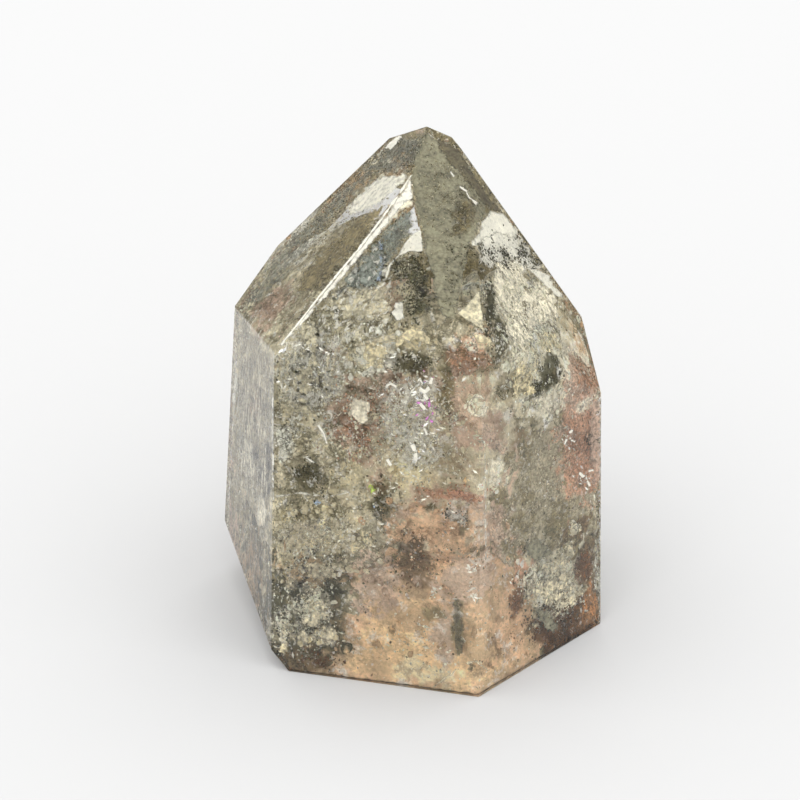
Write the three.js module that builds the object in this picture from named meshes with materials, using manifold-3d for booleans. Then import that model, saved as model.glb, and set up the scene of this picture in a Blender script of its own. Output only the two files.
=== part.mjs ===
// Garden quartz point: a six-sided quartz crystal, polished on all its faces and cut flat at the foot, with a
// garden of mineral growths inside. Millimetres, +Z up, front towards -Y, origin in the middle of the foot.
import * as THREE from "three";
import { ConvexGeometry } from "three/addons/geometries/ConvexGeometry.js";
import { mergeVertices } from "three/addons/utils/BufferGeometryUtils.js";
import Module from "manifold-3d";

const wasm = await Module();
wasm.setup();

// The crystal's habit. A face has a turn about the long axis, counted from the front towards +X, a slope of its
// normal above level, both in degrees, and a distance from the crystal's centre in millimetres.
const lean = 10; // the foot is cut oblique to the long axis, so the crystal leans back when it stands
const prismTurn = -13; // turn of the front prism face; the other five follow at sixty degrees
const prismTaper = 1;
const prismStep = 60;

const faces = {
  front: prismFace(0, 19.9),
  right: prismFace(1, 21.9),
  backRight: prismFace(2, 22.2),
  back: prismFace(3, 22.0),
  backLeft: prismFace(4, 22.0, 7),
  left: prismFace(5, 21.2),
  tipLeft: face(-73, 44, 37.6),
  tipFront: face(-28, 43, 38.6),
  tipCentre: face(19, 51, 43.2),
  tipRight: face(68, 32, 33.6),
  tipBackRight: face(105.5, 34.5, 35.95),
  tipBack: face(152, 39.5, 38.4),
  tipBackLeft: face(-153, 23, 28.4),
  brokenCorner: face(-91, -39.5, 17.4),
  foot: face(0, lean - 90 - 2 * lean, 6.4),
};

// The thin bright facet that is ground along the edge between the left and front tip faces. It is a hair wide at
// the shoulder and widest at the top.
const sliverDepth = { shoulder: 0.03, top: 0.28 };
faces.tipSliver = edgeFace(
  [faces.tipLeft, faces.tipFront],
  corner(faces.tipFront, faces.front, faces.left),
  corner(faces.tipLeft, faces.tipFront, faces.tipCentre),
  sliverDepth.shoulder,
  sliverDepth.top,
);

// The garden. Each growth is a lumpy ball, given by its centre, its half sizes, how rough it is and a seed for its
// lumps. Where two meet, the later one gives way to the earlier one.
const skin = 1.3; // least thickness of clear quartz over the garden
const gap = 0.3; // clearance between a growth and what surrounds it
const lumpDetail = { small: 2, large: 3 }; // how finely a ball is divided
const largeGrowth = 14; // half size from which a ball counts as large
const growths = [
  growth("feldspar_cloud_low_left", [-12, -14.5, 9], [5.5, 4.5, 7.5], 0.16, 4, 0xd6cdb2),
  growth("feldspar_cloud_low_right", [17, -11, 10], [6, 5, 5.5], 0.16, 3, 0xcfc4a8),
  growth("feldspar_flakes_top", [4, -11, 43.5], [7.5, 4, 3], 0.12, 13, 0xe2d9b6),
  growth("hematite_patch_right", [20.5, -5, 28], [4, 5.5, 9], 0.12, 2, 0xc08a70),
  growth("feldspar_cloud_high_right", [14, -3.5, 37.5], [9.5, 10, 10], 0.14, 1, 0xd9d2b8),
  growth("hematite_cloud_left", [-6, -10, 35], [6, 5, 7.5], 0.14, 5, 0xb58f78),
  growth("moss_tuft_left", [-13, -8, 5], [9, 11, 9.5], 0.14, 6, 0x3b3a24),
  growth("moss_tuft_right", [17, -4, 5], [9, 12, 9], 0.14, 7, 0x4e4026),
  growth("clay_bed", [1, -10, 3], [15.5, 14.5, 12], 0.1, 8, 0xd2a878),
  growth("clay_cloud_left", [-10.5, -8.5, 22], [10.5, 11, 10], 0.12, 14, 0xa8a084),
  growth("chlorite_sand_right", [15, -5.5, 21], [10, 12, 11.5], 0.1, 9, 0x86816a),
  growth("clay_cloud_middle", [3, -6, 27], [10, 12.5, 14], 0.12, 10, 0xa8957a),
  growth("chlorite_cloud_left", [-12.5, -2, 34], [9.5, 12, 10.5], 0.12, 11, 0x9a9378),
  growth("chlorite_hill_back", [0, 9, 15], [20, 14.5, 28], 0.1, 12, 0x7f7a5e),
];

function face(turn, slope, distance) {
  const t = THREE.MathUtils.degToRad(turn);
  const s = THREE.MathUtils.degToRad(slope);
  const normal = new THREE.Vector3(Math.cos(s) * Math.sin(t), -Math.cos(s) * Math.cos(t), Math.sin(s));
  return new THREE.Plane(normal, -distance);
}

function prismFace(step, distance, taper = prismTaper) {
  return face(prismTurn + prismStep * step, taper, distance);
}

function growth(name, centre, radii, roughness, seed, colour) {
  return { name, centre, radii, roughness, seed, colour };
}

// The point that three faces share.
function corner(a, b, c) {
  const rows = [a, b, c].map((plane) => plane.normal);
  const m = new THREE.Matrix3().set(...rows.flatMap((n) => n.toArray()));
  if (Math.abs(m.determinant()) < 1e-6) return null;
  return new THREE.Vector3(-a.constant, -b.constant, -c.constant).applyMatrix3(m.invert());
}

// A narrow face along the edge of two faces, sunk by one depth at its start and another at its end.
function edgeFace(pair, start, end, startDepth, endDepth) {
  const out = pair[0].normal.clone().add(pair[1].normal).normalize();
  const from = start.clone().addScaledVector(out, -startDepth);
  const to = end.clone().addScaledVector(out, -endDepth);
  const along = to.clone().sub(from).normalize();
  const normal = out.clone().addScaledVector(along, -out.dot(along)).normalize();
  return new THREE.Plane(normal, -normal.dot(from));
}

// The closed convex solid that lies behind all the faces, standing on its foot.
function crystalSolid(planes) {
  const points = [];
  for (let i = 0; i < planes.length; i++)
    for (let j = i + 1; j < planes.length; j++)
      for (let k = j + 1; k < planes.length; k++) {
        const p = corner(planes[i], planes[j], planes[k]);
        if (p && planes.every((plane) => plane.distanceToPoint(p) < 1e-6)) points.push(p);
      }
  return new ConvexGeometry(points).rotateX(THREE.MathUtils.degToRad(-lean));
}

// The same crystal with each face moved in by a distance, and its foot by another.
function shrunken(inset, footInset) {
  return Object.values(faces).map((plane) => {
    const moved = plane === faces.foot ? footInset : inset;
    return new THREE.Plane(plane.normal, plane.constant + moved);
  });
}

// Smooth lumps over a ball: a sum of waves along directions that the seed picks.
function lumps(direction, seed) {
  const waves = 7;
  let sum = 0;
  for (let i = 0; i < waves; i++) {
    const k = seed * 3.7 + i * 1.9;
    const across = new THREE.Vector3(Math.sin(k * 5.1), Math.sin(k * 3.3 + 1), Math.cos(k * 4.7)).normalize();
    sum += Math.sin(direction.dot(across) * (3.2 + 0.8 * i) + k * 2.3);
  }
  return sum / Math.sqrt(waves);
}

function lumpyBall({ centre, radii, roughness, seed }, grow) {
  const detail = Math.max(...radii) < largeGrowth ? lumpDetail.small : lumpDetail.large;
  const ball = new THREE.IcosahedronGeometry(1, detail);
  const position = ball.getAttribute("position");
  const v = new THREE.Vector3();
  for (let i = 0; i < position.count; i++) {
    v.fromBufferAttribute(position, i);
    const size = 1 + roughness * lumps(v, seed);
    position.setXYZ(i, ...radii.map((r, axis) => centre[axis] + v.getComponent(axis) * (r * size + grow)));
  }
  return ball;
}

function toSolid(geometry) {
  const bare = geometry.clone();
  bare.deleteAttribute("normal");
  bare.deleteAttribute("uv");
  const merged = mergeVertices(bare, 1e-4);
  return new wasm.Manifold(
    new wasm.Mesh({
      numProp: 3,
      vertProperties: new Float32Array(merged.getAttribute("position").array),
      triVerts: new Uint32Array(merged.index.array),
    }),
  );
}

function toGeometry(solid) {
  const mesh = solid.getMesh();
  const geometry = new THREE.BufferGeometry();
  geometry.setAttribute("position", new THREE.BufferAttribute(mesh.vertProperties, 3));
  geometry.setIndex(new THREE.BufferAttribute(mesh.triVerts, 1));
  const flat = geometry.toNonIndexed();
  flat.computeVertexNormals();
  return flat;
}

// Cutting can leave crumbs beside the main body, which are dropped.
function largestBody(solid) {
  return solid.decompose().reduce((a, b) => (b.volume() > a.volume() ? b : a));
}

const crystal = crystalSolid(Object.values(faces));
crystal.computeBoundingBox();
const box = crystal.boundingBox;
const origin = new THREE.Vector3((box.min.x + box.max.x) / 2, (box.min.y + box.max.y) / 2, box.min.z);

function standing(geometry) {
  return geometry.translate(-origin.x, -origin.y, -origin.z);
}

// Each growth stays under the clear skin and clear of the growths before it, and is cut off flush with the foot.
const pocketRoom = toSolid(standing(crystalSolid(shrunken(skin, -1))));
const growthRoom = toSolid(standing(crystalSolid(shrunken(skin + gap, 0))));
let pocket = null;
const garden = growths.map((item) => {
  const grown = toSolid(lumpyBall(item, gap));
  const free = toSolid(lumpyBall(item, 0)).intersect(growthRoom);
  const body = largestBody(pocket ? free.subtract(pocket) : free);
  pocket = pocket ? pocket.add(grown) : grown;
  return { name: item.name, colour: item.colour, body };
});
const quartz = largestBody(toSolid(standing(crystal)).subtract(pocket.intersect(pocketRoom)));

const point = new THREE.Group();

function addNode(name, solid, material) {
  const mesh = new THREE.Mesh(toGeometry(solid), new THREE.MeshStandardMaterial(material));
  mesh.name = name;
  point.add(mesh);
}

addNode("quartz_point", quartz, {
  color: 0xdcd9cc,
  roughness: 0.04,
  metalness: 0,
  transparent: true,
  opacity: 0.35,
});
for (const { name, colour, body } of garden)
  addNode(name, body, { color: colour, roughness: 0.85, metalness: 0, flatShading: true });

export default point;
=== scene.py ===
# Garden quartz point: the looks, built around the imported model.
import math
import random

import bmesh
import bpy
import numpy as np
from mathutils import Euler, Matrix, Vector, noise
from mathutils.bvhtree import BVHTree


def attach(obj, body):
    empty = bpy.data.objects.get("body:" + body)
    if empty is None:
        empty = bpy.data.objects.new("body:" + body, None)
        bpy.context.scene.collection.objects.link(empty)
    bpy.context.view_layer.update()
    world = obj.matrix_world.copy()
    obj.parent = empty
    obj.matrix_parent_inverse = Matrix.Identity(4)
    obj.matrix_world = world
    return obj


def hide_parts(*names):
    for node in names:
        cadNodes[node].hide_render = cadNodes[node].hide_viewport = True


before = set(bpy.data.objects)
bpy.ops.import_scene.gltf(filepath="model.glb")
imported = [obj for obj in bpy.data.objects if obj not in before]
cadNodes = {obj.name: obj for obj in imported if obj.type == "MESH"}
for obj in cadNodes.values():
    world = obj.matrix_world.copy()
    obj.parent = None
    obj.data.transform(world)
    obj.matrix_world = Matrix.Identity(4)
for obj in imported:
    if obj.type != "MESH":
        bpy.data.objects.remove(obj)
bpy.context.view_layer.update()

mm = 0.001
scene = bpy.context.scene


# camera

cameraView = {
    "aim": (-1.6, 8.5, 23.8),  # what the middle of the picture looks at, in mm
    "distance": 520,
    "elevation": 29.1,
    "roll": 0.4,
    "lens": 180,
    "sensor": 36,
    "picture": 800,  # width and height of the picture, in pixels
    "clip": (0.01, 20),  # m
}


def makeCamera(v):
    elevation, roll = math.radians(v["elevation"]), math.radians(v["roll"])
    back = Vector((0, -math.cos(elevation), math.sin(elevation)))
    up = Vector((0, math.sin(elevation), math.cos(elevation)))
    right = Vector((1, 0, 0))
    rolledRight = right * math.cos(roll) + up * math.sin(roll)
    rolledUp = up * math.cos(roll) - right * math.sin(roll)
    data = bpy.data.cameras.new("camera")
    data.lens = v["lens"]
    data.sensor_width = v["sensor"]
    data.clip_start, data.clip_end = v["clip"]
    camera = bpy.data.objects.new("camera", data)
    scene.collection.objects.link(camera)
    turned = Matrix((rolledRight, rolledUp, back)).transposed().to_4x4()
    place = (Vector(v["aim"]) + back * v["distance"]) * mm
    camera.matrix_world = Matrix.Translation(place) @ turned
    scene.camera = camera
    return camera.matrix_world.copy()


cameraMatrix = makeCamera(cameraView)
print("camera ready")


# helpers

def addNode(tree, kind, inputs=None, **settings):
    made = tree.nodes.new(kind)
    for name, value in settings.items():
        setattr(made, name, value)
    for name, value in (inputs or {}).items():
        if isinstance(value, bpy.types.NodeSocket):
            tree.links.new(value, made.inputs[name])
        else:
            made.inputs[name].default_value = value
    return made


def math2(tree, operation, a, b=0.0, c=0.5, clamp=False):
    # only MULTIPLY_ADD has a third input
    inputs = {0: a, 1: b, 2: c} if operation == "MULTIPLY_ADD" else {0: a, 1: b}
    return addNode(tree, "ShaderNodeMath", inputs, operation=operation, use_clamp=clamp).outputs[0]


def vector2(tree, operation, a, b):
    return addNode(tree, "ShaderNodeVectorMath", {0: a, 1: b}, operation=operation).outputs[0]


def scaledBy(tree, a, factor):
    return addNode(tree, "ShaderNodeVectorMath", {0: a, "Scale": factor}, operation="SCALE").outputs[0]


def mixColour(tree, share, a, b):
    # the colour sockets of a Mix node are its seventh and eighth
    return addNode(tree, "ShaderNodeMix", {0: share, 6: a, 7: b}, data_type="RGBA").outputs[2]


def linearColour(r, g, b):
    def one(c):
        c /= 255
        return c / 12.92 if c <= 0.04045 else ((c + 0.055) / 1.055) ** 2.4
    return (one(r), one(g), one(b), 1)


def newMaterial(name):
    material = bpy.data.materials.new(name)
    material.use_nodes = True
    tree = material.node_tree
    return material, tree, tree.nodes["Principled BSDF"]


def newTree(name, kind, inputs, outputs):
    tree = bpy.data.node_groups.new(name, kind)
    for label, socket, value in inputs:
        made = tree.interface.new_socket(name=label, in_out="INPUT", socket_type=socket)
        if value is not None:
            made.default_value = value
    for label, socket in outputs:
        tree.interface.new_socket(name=label, in_out="OUTPUT", socket_type=socket)
    return tree, tree.nodes.new("NodeGroupInput").outputs, tree.nodes.new("NodeGroupOutput").inputs


def setInputs(modifier, values):
    for item in modifier.node_group.interface.items_tree:
        if item.item_type == "SOCKET" and item.in_out == "INPUT" and item.name in values:
            modifier[item.identifier] = values[item.name]


def linkObject(name, mesh):
    made = bpy.data.objects.new(name, mesh)
    scene.collection.objects.link(made)
    return made


def bake(name, source):
    # the finished mesh of an object with its modifiers on, as a new piece
    graph = bpy.context.evaluated_depsgraph_get()
    made = source.evaluated_get(graph)
    mesh = bpy.data.meshes.new_from_object(made, preserve_all_data_layers=True, depsgraph=graph)
    mesh.name = name
    bpy.data.objects.remove(source)
    triangles = sum(len(p.vertices) - 2 for p in mesh.polygons)
    print(name, triangles, "triangles")
    return linkObject(name, mesh)


def keepPiece(piece, slot, *replaced):
    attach(piece, "root")
    if replaced:
        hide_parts(*replaced)
    return piece


def mergedCopy(nodeName):
    shape = bmesh.new()
    shape.from_mesh(cadNodes[nodeName].data)
    bmesh.ops.remove_doubles(shape, verts=shape.verts, dist=1e-6)
    return shape


# the clear crystal

quartz = {
    "flat": 0.5,  # faces that differ by less than these degrees are one
    "foot": 0.99,  # how far down a face looks that counts as the foot
    "edgeWidth": 0.14,  # ground edges, mm
    "edgeFrom": 8,  # degrees between two faces
    "edgeSteps": 2,
    "ior": 1.544,
    "smoke": (0.80, 0.78, 0.68),
    "density": 9.0,
}


def clearMaterial(v):
    material, tree, shader = newMaterial("clear_quartz")
    shader.inputs["Base Color"].default_value = (1, 1, 1, 1)
    shader.inputs["Roughness"].default_value = 0.0
    shader.inputs["IOR"].default_value = v["ior"]
    shader.inputs["Transmission Weight"].default_value = 1.0
    absorb = addNode(tree, "ShaderNodeVolumeAbsorption", {"Color": (*v["smoke"], 1), "Density": v["density"]})
    tree.links.new(absorb.outputs[0], tree.nodes["Material Output"].inputs["Volume"])
    return material


def makeQuartz(v):
    shape = mergedCopy("quartz_point")
    hull = bmesh.ops.convex_hull(shape, input=shape.verts)
    inside = [g for g in hull["geom_interior"] + hull["geom_unused"] if isinstance(g, bmesh.types.BMVert)]
    bmesh.ops.delete(shape, geom=list(set(inside)), context="VERTS")
    onHull = {g for g in hull["geom"] if isinstance(g, bmesh.types.BMFace)}
    bmesh.ops.delete(shape, geom=[f for f in shape.faces if f not in onHull], context="FACES")
    bmesh.ops.dissolve_limit(shape, angle_limit=math.radians(v["flat"]), verts=shape.verts, edges=shape.edges)
    bmesh.ops.recalc_face_normals(shape, faces=shape.faces)
    print("crystal faces", len(shape.faces), "corners", len(shape.verts))
    faces = BVHTree.FromBMesh(shape)
    planes = [(f.normal.copy(), f.calc_center_median().copy()) for f in shape.faces]
    mesh = bpy.data.meshes.new("clear_crystal")
    shape.to_mesh(mesh)
    crystal = linkObject("clear_crystal", mesh)
    # the faces without the foot, which the garden is measured from
    foot = [f for f in shape.faces if f.normal.z < -v["foot"]]
    bmesh.ops.delete(shape, geom=foot, context="FACES_ONLY")
    sideMesh = bpy.data.meshes.new("crystal_sides")
    shape.to_mesh(sideMesh)
    shape.free()
    sides = linkObject("crystal_sides", sideMesh)
    mesh.materials.append(clearMaterial(v))
    bevel = crystal.modifiers.new("ground edges", "BEVEL")
    bevel.width = v["edgeWidth"] * mm
    bevel.segments = v["edgeSteps"]
    bevel.limit_method = "ANGLE"
    bevel.angle_limit = math.radians(v["edgeFrom"])
    keepPiece(crystal, "quartz", "quartz_point")
    return sides, faces, planes


crystalSides, crystalFaces, crystalPlanes = makeQuartz(quartz)
print("crystal ready")


def behindFace(u, v, depth):
    # the point that a pixel of the picture shows at a depth in mm behind the crystal's face
    half = cameraView["picture"] / 2
    slope = cameraView["sensor"] / cameraView["lens"] / cameraView["picture"]
    ray = (cameraMatrix.to_3x3() @ Vector(((u - half) * slope, (half - v) * slope, -1))).normalized()
    entry, normal, _, _ = crystalFaces.ray_cast(cameraMatrix.translation, ray)
    if entry is None:
        return None
    bend = 1 / quartz["ior"]
    facing = -normal.dot(ray)
    inside = ray * bend + normal * (bend * facing - math.sqrt(1 - bend * bend * (1 - facing * facing)))
    return entry + inside * depth * mm


hiddenSide = {
    "middle": (0, 2, 24),  # a point well inside the crystal, mm
    "lowest": -0.9,  # how far up a face's normal looks at least, which leaves out the foot
    "turned": 0.05,  # how far a face looks towards the camera at most
}


def behindHidden(draw, depth):
    # a point drawn at random at a depth in mm behind one of the faces that the picture doesn't show
    middle = Vector(hiddenSide["middle"]) * mm
    towards = cameraMatrix.to_3x3().col[2]
    while True:
        way = Vector([draw.uniform(-1, 1) for _ in range(3)]).normalized()
        entry, normal, _, _ = crystalFaces.ray_cast(middle, way)
        if entry is None or normal.z <= hiddenSide["lowest"]:
            continue
        if normal.dot(towards) < hiddenSide["turned"]:
            return entry - normal * depth * mm


def roomAt(place):
    # how far a point is from the nearest face, in metres, negative outside the crystal
    return min((centre - place).dot(normal) for normal, centre in crystalPlanes)


# the look that the minerals share

mottleLook = {
    "fine": 0.8,  # size of the fine noise in the bump, in grain sizes
    "fineNoise": (2.0, 0.6, 0.031),  # detail, roughness and where the noise starts
    "crackNoise": (5.0, 0.75, 0.09),
    "crackEdge": (0.54, 0.61),  # noise between which a crack darkens
    "lightNoise": (5.0, 0.75, 0.17),
    "lightEdge": (0.55, 0.64),
    "lightTint": (0.95, 0.93, 0.86, 1),
    "veinNoise": (6.0, 0.7, 0.23),
    "veinEdge": (0.026, 0.006),  # how far the noise is from its middle where a vein ends and where it is full
    "bump": 0.6,
    "bumpHeight": 0.2,  # mm
    "roughness": 0.7,
}


def makeMottle(v):
    # grains, light crumbs, dark cracks and veins, and painted shade that darkens recesses, over a piece's own
    # tint
    group, start, end = newTree("mottle", "ShaderNodeTree", (
        ("Tint", "NodeSocketColor", (0.8, 0.8, 0.8, 1)),
        ("Crack Vein And Shade", "NodeSocketColor", (0.1, 0.1, 0.1, 1)),
        ("Depth", "NodeSocketFloat", 0.0),
        ("Grain Size", "NodeSocketFloat", 0.4),
        ("Grain Contrast", "NodeSocketFloat", 0.4),
        ("Crack Size", "NodeSocketFloat", 1.2),
        ("Crack Amount", "NodeSocketFloat", 0.4),
        ("Light Amount", "NodeSocketFloat", 0.4),
        ("Vein Size", "NodeSocketFloat", 4.0),
        ("Vein Amount", "NodeSocketFloat", 0.5),
    ), (("Color", "NodeSocketColor"), ("Height", "NodeSocketFloat")))
    place = addNode(group, "ShaderNodeTexCoord").outputs["Object"]

    def noiseAt(size, detail, rough, seed):
        return addNode(group, "ShaderNodeTexNoise", {
            "Vector": vector2(group, "ADD", place, (seed, seed * 0.7, -seed)),
            "Scale": math2(group, "DIVIDE", 1000.0, size), "Detail": detail, "Roughness": rough,
        }).outputs["Fac"]

    def ramp(value, low, high):
        return addNode(group, "ShaderNodeMapRange", {
            "Value": value, "From Min": low, "From Max": high,
        }, interpolation_type="SMOOTHSTEP").outputs[0]

    grain = addNode(group, "ShaderNodeTexVoronoi", {
        "Vector": place, "Scale": math2(group, "DIVIDE", 1000.0, start["Grain Size"]),
    })
    tone = addNode(group, "ShaderNodeSeparateColor", {0: grain.outputs["Color"]}).outputs[0]
    fine = noiseAt(math2(group, "MULTIPLY", start["Grain Size"], v["fine"]), *v["fineNoise"])
    crack = ramp(noiseAt(start["Crack Size"], *v["crackNoise"]), *v["crackEdge"])
    light = ramp(noiseAt(start["Crack Size"], *v["lightNoise"]), *v["lightEdge"])
    away = math2(group, "SUBTRACT", noiseAt(start["Vein Size"], *v["veinNoise"]), 0.5)
    vein = ramp(math2(group, "ABSOLUTE", away), *v["veinEdge"])
    vein = math2(group, "MULTIPLY", vein, start["Vein Amount"])
    crackVeinAndShade = math2(group, "MAXIMUM", math2(group, "MULTIPLY", crack, start["Crack Amount"]), vein)
    # painted shade: the deeper a corner lies in a recess, the more it darkens to the crack colour
    crackVeinAndShade = math2(group, "MAXIMUM", crackVeinAndShade, start["Depth"], clamp=True)
    light = math2(group, "MULTIPLY", light, start["Light Amount"])
    lit = mixColour(group, light, start["Tint"], v["lightTint"])
    crackedVeinedAndShaded = mixColour(group, crackVeinAndShade, lit, start["Crack Vein And Shade"])
    lift = math2(group, "MULTIPLY", math2(group, "SUBTRACT", tone, 0.5), start["Grain Contrast"])
    group.links.new(scaledBy(group, crackedVeinedAndShaded, math2(group, "ADD", lift, 1.0)), end["Color"])
    bulge = math2(group, "SUBTRACT", 1.0, grain.outputs["Distance"])
    group.links.new(math2(group, "ADD", bulge, fine), end["Height"])
    return group


mottle = makeMottle(mottleLook)


def attributeOf(tree, name, output="Fac"):
    return addNode(tree, "ShaderNodeAttribute", attribute_name=name).outputs[output]


def mineral(name, crackVeinAndShade, values):
    v = mottleLook
    material, tree, shader = newMaterial(name)
    # the depth attribute sets the painted shade in recesses
    look = addNode(tree, "ShaderNodeGroup", {
        **values, "Tint": attributeOf(tree, "tint", "Color"), "Depth": attributeOf(tree, "depth"),
        "Crack Vein And Shade": linearColour(*crackVeinAndShade),
    }, node_tree=mottle)
    bump = addNode(tree, "ShaderNodeBump", {
        "Height": look.outputs["Height"], "Strength": v["bump"], "Distance": v["bumpHeight"] * mm,
    })
    tree.links.new(look.outputs["Color"], shader.inputs["Base Color"])
    tree.links.new(bump.outputs[0], shader.inputs["Normal"])
    shader.inputs["Roughness"].default_value = v["roughness"]
    return material


# what the garden's minerals look like, and where their patches lie

minerals = {
    "white": (246, 243, 228),
    "cream": (252, 245, 222),
    "butter": (240, 228, 190),
    "khaki": (222, 212, 182),
    "sand": (186, 176, 148),
    "grey": (222, 214, 184),
    "slate": (140, 140, 124),
    "olive": (150, 138, 102),
    "moss": (84, 82, 54),
    "brown": (124, 102, 70),
    "tan": (206, 178, 140),
    "taupe": (212, 188, 164),
    "mauve": (204, 178, 156),
    "peach": (236, 200, 160),
    "gold": (248, 216, 168),
    "salmon": (214, 170, 138),
    "brick": (208, 164, 138),
    "blue": (190, 208, 226),
    "lilac": (240, 160, 232),
    "lime": (206, 226, 120),
    "mist": (152, 148, 122),
    "teal": (150, 156, 144),
    "bark": (112, 104, 78),
    # bright is the white of the painted highlights and glints, and the tint of the mirror sparks
    "bright": (255, 252, 240),
    "shade": (108, 100, 70),
    "umber": (120, 80, 38),
    "rust": (196, 138, 84),
}

# middle and half sizes in pixels of the picture, and the mineral
patches = (
    ("veins_upper_left", 305, 365, 36, 40, "grey"),
    ("veins_left", 295, 425, 24, 26, "khaki"),
    ("haze_upper_middle", 350, 320, 50, 40, "grey"),
    ("red_bit", 331, 357, 8, 9, "mauve"),
    ("ball_top", 362, 386, 16, 14, "mauve"),
    ("ball", 360, 424, 24, 34, "mauve"),
    ("ball_cream", 360, 410, 11, 14, "cream"),
    ("ball_salmon", 350, 424, 6, 7, "salmon"),
    ("sparkle_bed", 380, 358, 24, 13, "white"),
    ("middle_khaki", 425, 440, 40, 40, "khaki"),
    ("middle_dark", 455, 450, 24, 30, "sand"),
    ("crumbs_left", 285, 441, 9, 11, "white"),
    ("crumb_left", 326, 433, 5, 6, "white"),
    ("band", 413, 338, 19, 9, "butter"),
    ("band_right", 481, 339, 12, 8, "butter"),
    ("gap_under_band", 411, 361, 15, 13, "shade"),
    ("gap_over_band", 414, 296, 12, 18, "olive"),
    ("gap_middle", 445, 392, 8, 26, "olive"),
    ("light_middle", 405, 470, 24, 14, "butter"),
    ("light_left", 350, 470, 14, 18, "butter"),
    ("light_upper_left", 300, 375, 26, 40, "khaki"),
    ("salmon_ball", 468, 358, 20, 19, "salmon"),
    # a painted highlight on top of the salmon ball
    ("salmon_ball_painted_highlight", 468, 345, 8, 4, "cream"),
    ("smooth_band", 482, 430, 30, 18, "mauve"),
    ("eye", 478, 406, 10, 11, "cream"),
    ("whitish_corner", 495, 473, 10, 17, "cream"),
    ("spots_left", 312, 476, 13, 14, "shade"),
    ("khaki_mass", 317, 537, 44, 30, "butter"),
    ("dark_middle", 383, 508, 13, 24, "shade"),
    ("peach_upper", 440, 530, 44, 24, "peach"),
    ("taupe_column", 494, 530, 16, 34, "taupe"),
    ("brick_streak", 455, 494, 30, 5, "brick"),
    ("dark_spot_a", 457, 516, 8, 12, "shade"),
    ("dark_spot_b", 430, 504, 6, 5, "shade"),
    ("dark_spot_c", 477, 558, 8, 9, "shade"),
    ("taupe_left", 378, 590, 26, 32, "taupe"),
    ("dark_large", 415, 565, 16, 28, "brown"),
    ("taupe_middle", 455, 580, 26, 20, "taupe"),
    ("tan_arm", 318, 572, 30, 14, "tan"),
    ("hole_left", 331, 590, 15, 18, "moss"),
    ("green_left", 281, 608, 16, 14, "moss"),
    ("green_foot_left", 312, 648, 42, 12, "moss"),
    ("green_wide_left", 338, 625, 10, 30, "shade"),
    ("lump_a", 313, 608, 18, 20, "cream"),
    ("lump_b", 284, 628, 7, 9, "cream"),
    ("lump_c", 302, 636, 15, 8, "cream"),
    ("lump_d", 325, 634, 9, 8, "cream"),
    ("gap_low_a", 296, 592, 10, 7, "moss"),
    ("gap_low_b", 316, 623, 13, 4, "moss"),
    ("gap_low_c", 292, 640, 6, 9, "moss"),
    ("rough_foot_left", 300, 662, 42, 14, "brown"),
    ("gold_bed", 440, 655, 74, 34, "gold"),
    ("gold_bed_left", 390, 640, 34, 30, "gold"),
    ("tan_bed_a", 405, 618, 22, 10, "tan"),
    ("tan_bed_b", 480, 650, 18, 22, "tan"),
    ("brown_bed_a", 378, 662, 14, 12, "tan"),
    ("brown_bed_b", 444, 640, 12, 22, "taupe"),
    ("brown_bed_c", 500, 640, 10, 14, "brown"),
    ("light_bed", 425, 672, 30, 10, "butter"),
    ("grey_patch", 433, 613, 9, 6, "olive"),
    ("dark_sliver", 457, 630, 5, 24, "olive"),
    ("peach_right", 510, 625, 24, 30, "peach"),
    ("pink_right", 521, 571, 14, 12, "salmon"),
    ("sand_right", 548, 470, 56, 84, "sand"),
    ("dark_sand_a", 560, 520, 14, 18, "olive"),
    ("dark_sand_b", 525, 440, 12, 20, "olive"),
    ("brown_all_right", 560, 632, 44, 34, "umber"),
    ("umber_low_right", 552, 638, 26, 20, "umber"),
    ("umber_right", 580, 624, 16, 24, "umber"),
    ("umber_left", 516, 604, 9, 12, "umber"),
    ("cloud_low_right", 551, 582, 28, 24, "cream"),
    ("brown_right", 587, 564, 13, 20, "brown"),
    ("rust_edge", 592, 612, 7, 22, "rust"),
    ("salmon_high", 589, 372, 15, 27, "salmon"),
    ("salmon_low", 580, 447, 27, 42, "salmon"),
    ("salmon_strip", 588, 402, 14, 5, "cream"),
    ("green_spot", 592, 438, 7, 7, "moss"),
    ("cloud_a", 512, 288, 22, 34, "cream"),
    ("cloud_b", 538, 315, 30, 36, "cream"),
    ("cloud_c", 520, 366, 24, 28, "cream"),
    ("cloud_d", 550, 402, 18, 16, "cream"),
    ("cloud_e", 560, 345, 16, 26, "cream"),
    ("cloud_gap_a", 551, 370, 10, 15, "moss"),
    ("cloud_gap_b", 537, 388, 8, 8, "moss"),
    ("cloud_gap_c", 489, 300, 6, 38, "moss"),
    ("cloud_gap_d", 500, 345, 5, 16, "moss"),
    ("cloud_gap_f", 527, 308, 3, 16, "olive"),
    ("cloud_gap_g", 556, 296, 3, 14, "olive"),
    ("pink_shoulder", 270, 308, 22, 26, "mauve"),
    ("left_pale", 250, 430, 26, 90, "grey"),
    ("left_cream", 261, 512, 7, 17, "cream"),
    ("left_bark", 252, 590, 18, 54, "tan"),
)

patchShape = {
    "depth": 1.8,  # of a patch's middle behind the face, mm
    "thickness": 3.5,  # half of it, along the view
    "soft": 0.2,  # how much of its half size the edge takes
    "fray": 2.6,  # how far broad noise pulls its outline about, in half sizes
    "grit": 3.4,  # how far fine noise does
    "share": 0.92,
    "upright": 1.12,  # how much longer a patch is than it looks from the camera's height
    "hidden": 40,  # patches on the faces that the picture doesn't show
    "hiddenSize": (2.0, 6.0),
    "hiddenKinds": (
        "cream", "khaki", "grey", "mauve", "taupe", "tan", "olive", "sand", "moss", "white", "peach",
    ),
    "seed": 12,
}


def mineralColour(kind):
    return np.array(linearColour(*minerals[kind])[:3])


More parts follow.
